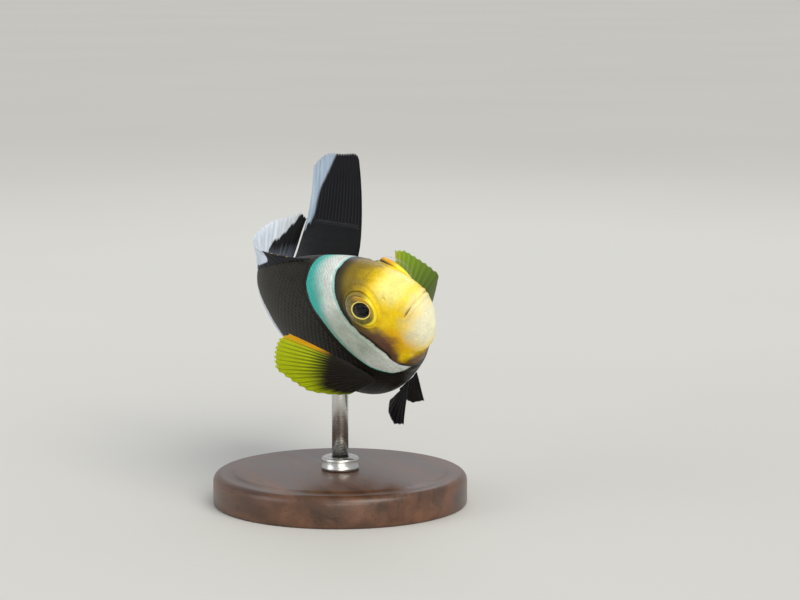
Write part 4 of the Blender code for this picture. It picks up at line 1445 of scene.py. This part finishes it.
def steel_look(colours):
    """Brushed stainless steel: fine rings left by turning, which stretch the highlights."""
    look, tree = new_material("brushed stainless steel")
    lines = add(tree, "ShaderNodeTexCoord")["Object"].stretched((300.0, 300.0, 9000.0))
    lines = lines.noise(1.0, 2.0)
    return principled(look, colours.steel, {
        "Metallic": 1.0, "Roughness": lines.span(0.3, 0.7, 0.22, 0.38)}, (lines, 0.12, 0.00002))


class CLOWNFISH_OT_stand(bpy.types.Operator):
    """Display stand: turned base, ferrule and rod"""
    bl_idname = "clownfish.stand"
    bl_label = "Stand"

    def execute(self, context):
        colours = context.scene.clownfish_colours
        wood, steel = walnut_look(colours), steel_look(colours)

        def turn(node, look, slot, steps, outline):
            """Settle a piece turned from an outline in millimetres."""
            outline = [(radius * MM, height * MM) for radius, height in outline]
            settle(turned_piece(node + "_turned", outline, look, steps), slot, node)

        low, high = (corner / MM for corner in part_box("stand_base"))
        radius, top = high.x, high.z
        turn("stand_base", wood, "walnut", 144, [
            (0.0, top), (radius - 4.0, top), (radius - 3.6, top - 0.12), (radius - 3.2, top - 0.30),
            *bead(radius - 1.5, top - 1.8, 1.5, 100, 0),
            *bead(radius - 0.5, low.z + 0.5, 0.5, 0, -90, 4), (0.0, low.z)])
        low, high = (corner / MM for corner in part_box("stand_ferrule"))
        rod_low, rod_high = (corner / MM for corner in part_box("stand_rod"))
        bore, sunk = rod_high.x + 0.02, 0.28        # the steel runs this far into the base
        turn("stand_ferrule", steel, "steel", 96, [
            (bore, low.z), (bore, high.z - 0.15), (bore + 0.15, high.z), (high.x - 0.9, high.z),
            *bead(high.x - 0.6, high.z - 0.6, 0.6, 70, 0, 6), (high.x - 0.15, low.z + 0.55),
            (high.x, low.z + 0.4), (high.x, low.z - sunk), (bore, low.z - sunk), (bore, low.z)])
        turn("stand_rod", steel, "steel", 64, [
            (0.0, rod_high.z), (rod_high.x - 0.1, rod_high.z), (rod_high.x, rod_high.z - 0.1),
            (rod_high.x, rod_low.z - sunk), (0.0, rod_low.z - sunk)])
        return {"FINISHED"}


# ---- Stage

FLOOR_REACH, FLOOR_CORNERS = 8.0, 64        # radius in metres
WORLD_STRENGTH = 0.62
KEY_STRENGTH, KEY_SPREAD = 1.70, 38         # of the sun, and the width of its disc in degrees
KEY_PLACE = (6, 44)             # degrees round from the stand's front and up
LAMP_SPAN, LAMP_DISTANCE = 0.40, 0.60       # metres
# Soft lamps: name, degrees round and up, watts, colour.
LAMPS = (("side", -95, 18, 0.75, "#F2F7FF"), ("fill", -18, 4, 1.35, "#FFFAF0"),
         ("back", 150, 42, 0.60, "#F6FAFF"))
AIM = (-0.00063, -0.02540, 0.04022)         # the world point in the middle of the view
CAMERA_AZIMUTH, CAMERA_HEIGHT = -26.64, 8.0         # degrees round and up
CAMERA_DISTANCE = 0.470         # metres
FRAME_WIDTH = 0.1370            # width of the view at the aim, metres
SENSOR = 36.0                   # millimetres


def place_in_scene(name, data, azimuth, height, distance):
    """Put a light or the camera round the fish's head, looking at it; angles in degrees."""
    a, e = math.radians(azimuth), math.radians(height)
    back = Vector((math.sin(a) * math.cos(e), -math.cos(a) * math.cos(e), math.sin(e)))
    thing = bpy.data.objects.new(name, data)
    thing.location = Vector(AIM) + back * distance
    thing.rotation_euler = (-back).to_track_quat("-Z", "Y").to_euler()
    bpy.context.scene.collection.objects.link(thing)
    return thing


def floor_look(colours):
    """Matt painted board: pale, even and without gloss."""
    look, tree = new_material("matt pale board")
    cloud = add(tree, "ShaderNodeTexCoord")["Object"].noise(6.0, 2.0)
    tone = cloud.span(0.3, 0.7, 0.985, 1.015)
    whole = add(tree, "ShaderNodeVectorMath", (colours.floor, tone), operation="SCALE")
    return principled(look, whole, {"Roughness": 0.85, "Specular IOR Level": 0.0})


class CLOWNFISH_OT_stage(bpy.types.Operator):
    """Pale floor, soft studio lights and the camera"""
    bl_idname = "clownfish.stage"
    bl_label = "Stage"

    def execute(self, context):
        scene = context.scene
        rim = [(FLOOR_REACH * math.cos(a), FLOOR_REACH * math.sin(a), 0.0)
               for a in np.linspace(0, 2 * math.pi, FLOOR_CORNERS, endpoint=False)]
        floor = new_object("floor", rim, [list(range(FLOOR_CORNERS))])
        floor.data.materials.append(floor_look(scene.clownfish_colours))
        sun = bpy.data.lights.new("key", "SUN")
        sun.energy, sun.angle = KEY_STRENGTH, math.radians(KEY_SPREAD)
        sun.color = srgb("#FFFBF2")
        place_in_scene("key", sun, *KEY_PLACE, 0.0)
        for name, azimuth, height, power, tint in LAMPS:
            lamp = bpy.data.lights.new(name, "AREA")
            lamp.shape, lamp.size, lamp.energy, lamp.color = "DISK", LAMP_SPAN, power, srgb(tint)
            place_in_scene(name, lamp, azimuth, height, LAMP_DISTANCE)
        world = bpy.data.worlds.new("soft studio")
        world.use_nodes = True
        sky = world.node_tree.nodes["Background"]
        sky.inputs["Color"].default_value = paint("#F0F2F4")
        sky.inputs["Strength"].default_value = WORLD_STRENGTH
        scene.world = world
        scene.view_settings.view_transform = "Standard"
        lens = bpy.data.cameras.new("camera")
        lens.sensor_width, lens.lens = SENSOR, SENSOR * CAMERA_DISTANCE / FRAME_WIDTH
        lens.clip_start, lens.clip_end = 0.01, 100.0
        scene.camera = place_in_scene("camera", lens, CAMERA_AZIMUTH, CAMERA_HEIGHT,
                                      CAMERA_DISTANCE)
        return {"FINISHED"}


# ---- Panel and registration


class CLOWNFISH_PT_panel(bpy.types.Panel):
    bl_idname = "CLOWNFISH_PT_panel"
    bl_label = "Clownfish"
    bl_space_type = "VIEW_3D"
    bl_region_type = "UI"
    bl_category = "Clownfish"

    def draw(self, context):
        for maker in MAKERS:
            self.layout.operator(maker.bl_idname)
        for group in (context.scene.clownfish_sizes, context.scene.clownfish_colours):
            for key in group.bl_rna.properties.keys():
                if key not in ("rna_type", "name"):
                    self.layout.prop(group, key)


MAKERS = (CLOWNFISH_OT_stage, CLOWNFISH_OT_skin, CLOWNFISH_OT_scales, CLOWNFISH_OT_fins,
          CLOWNFISH_OT_eyes, CLOWNFISH_OT_stand)
CLASSES = (ClownfishColours, ClownfishSizes, *MAKERS, CLOWNFISH_PT_panel)


def register():
    for item in CLASSES:
        bpy.utils.register_class(item)
    bpy.types.Scene.clownfish_colours = bpy.props.PointerProperty(type=ClownfishColours)
    bpy.types.Scene.clownfish_sizes = bpy.props.PointerProperty(type=ClownfishSizes)


def unregister():
    del bpy.types.Scene.clownfish_colours
    del bpy.types.Scene.clownfish_sizes
    for item in reversed(CLASSES):
        bpy.utils.unregister_class(item)


def main():
    register()
    bpy.ops.clownfish.stage()
    bpy.ops.clownfish.skin()
    bpy.ops.clownfish.scales()
    bpy.ops.clownfish.fins()
    bpy.ops.clownfish.eyes()
    bpy.ops.clownfish.stand()


if __name__ == "__main__":
    main()
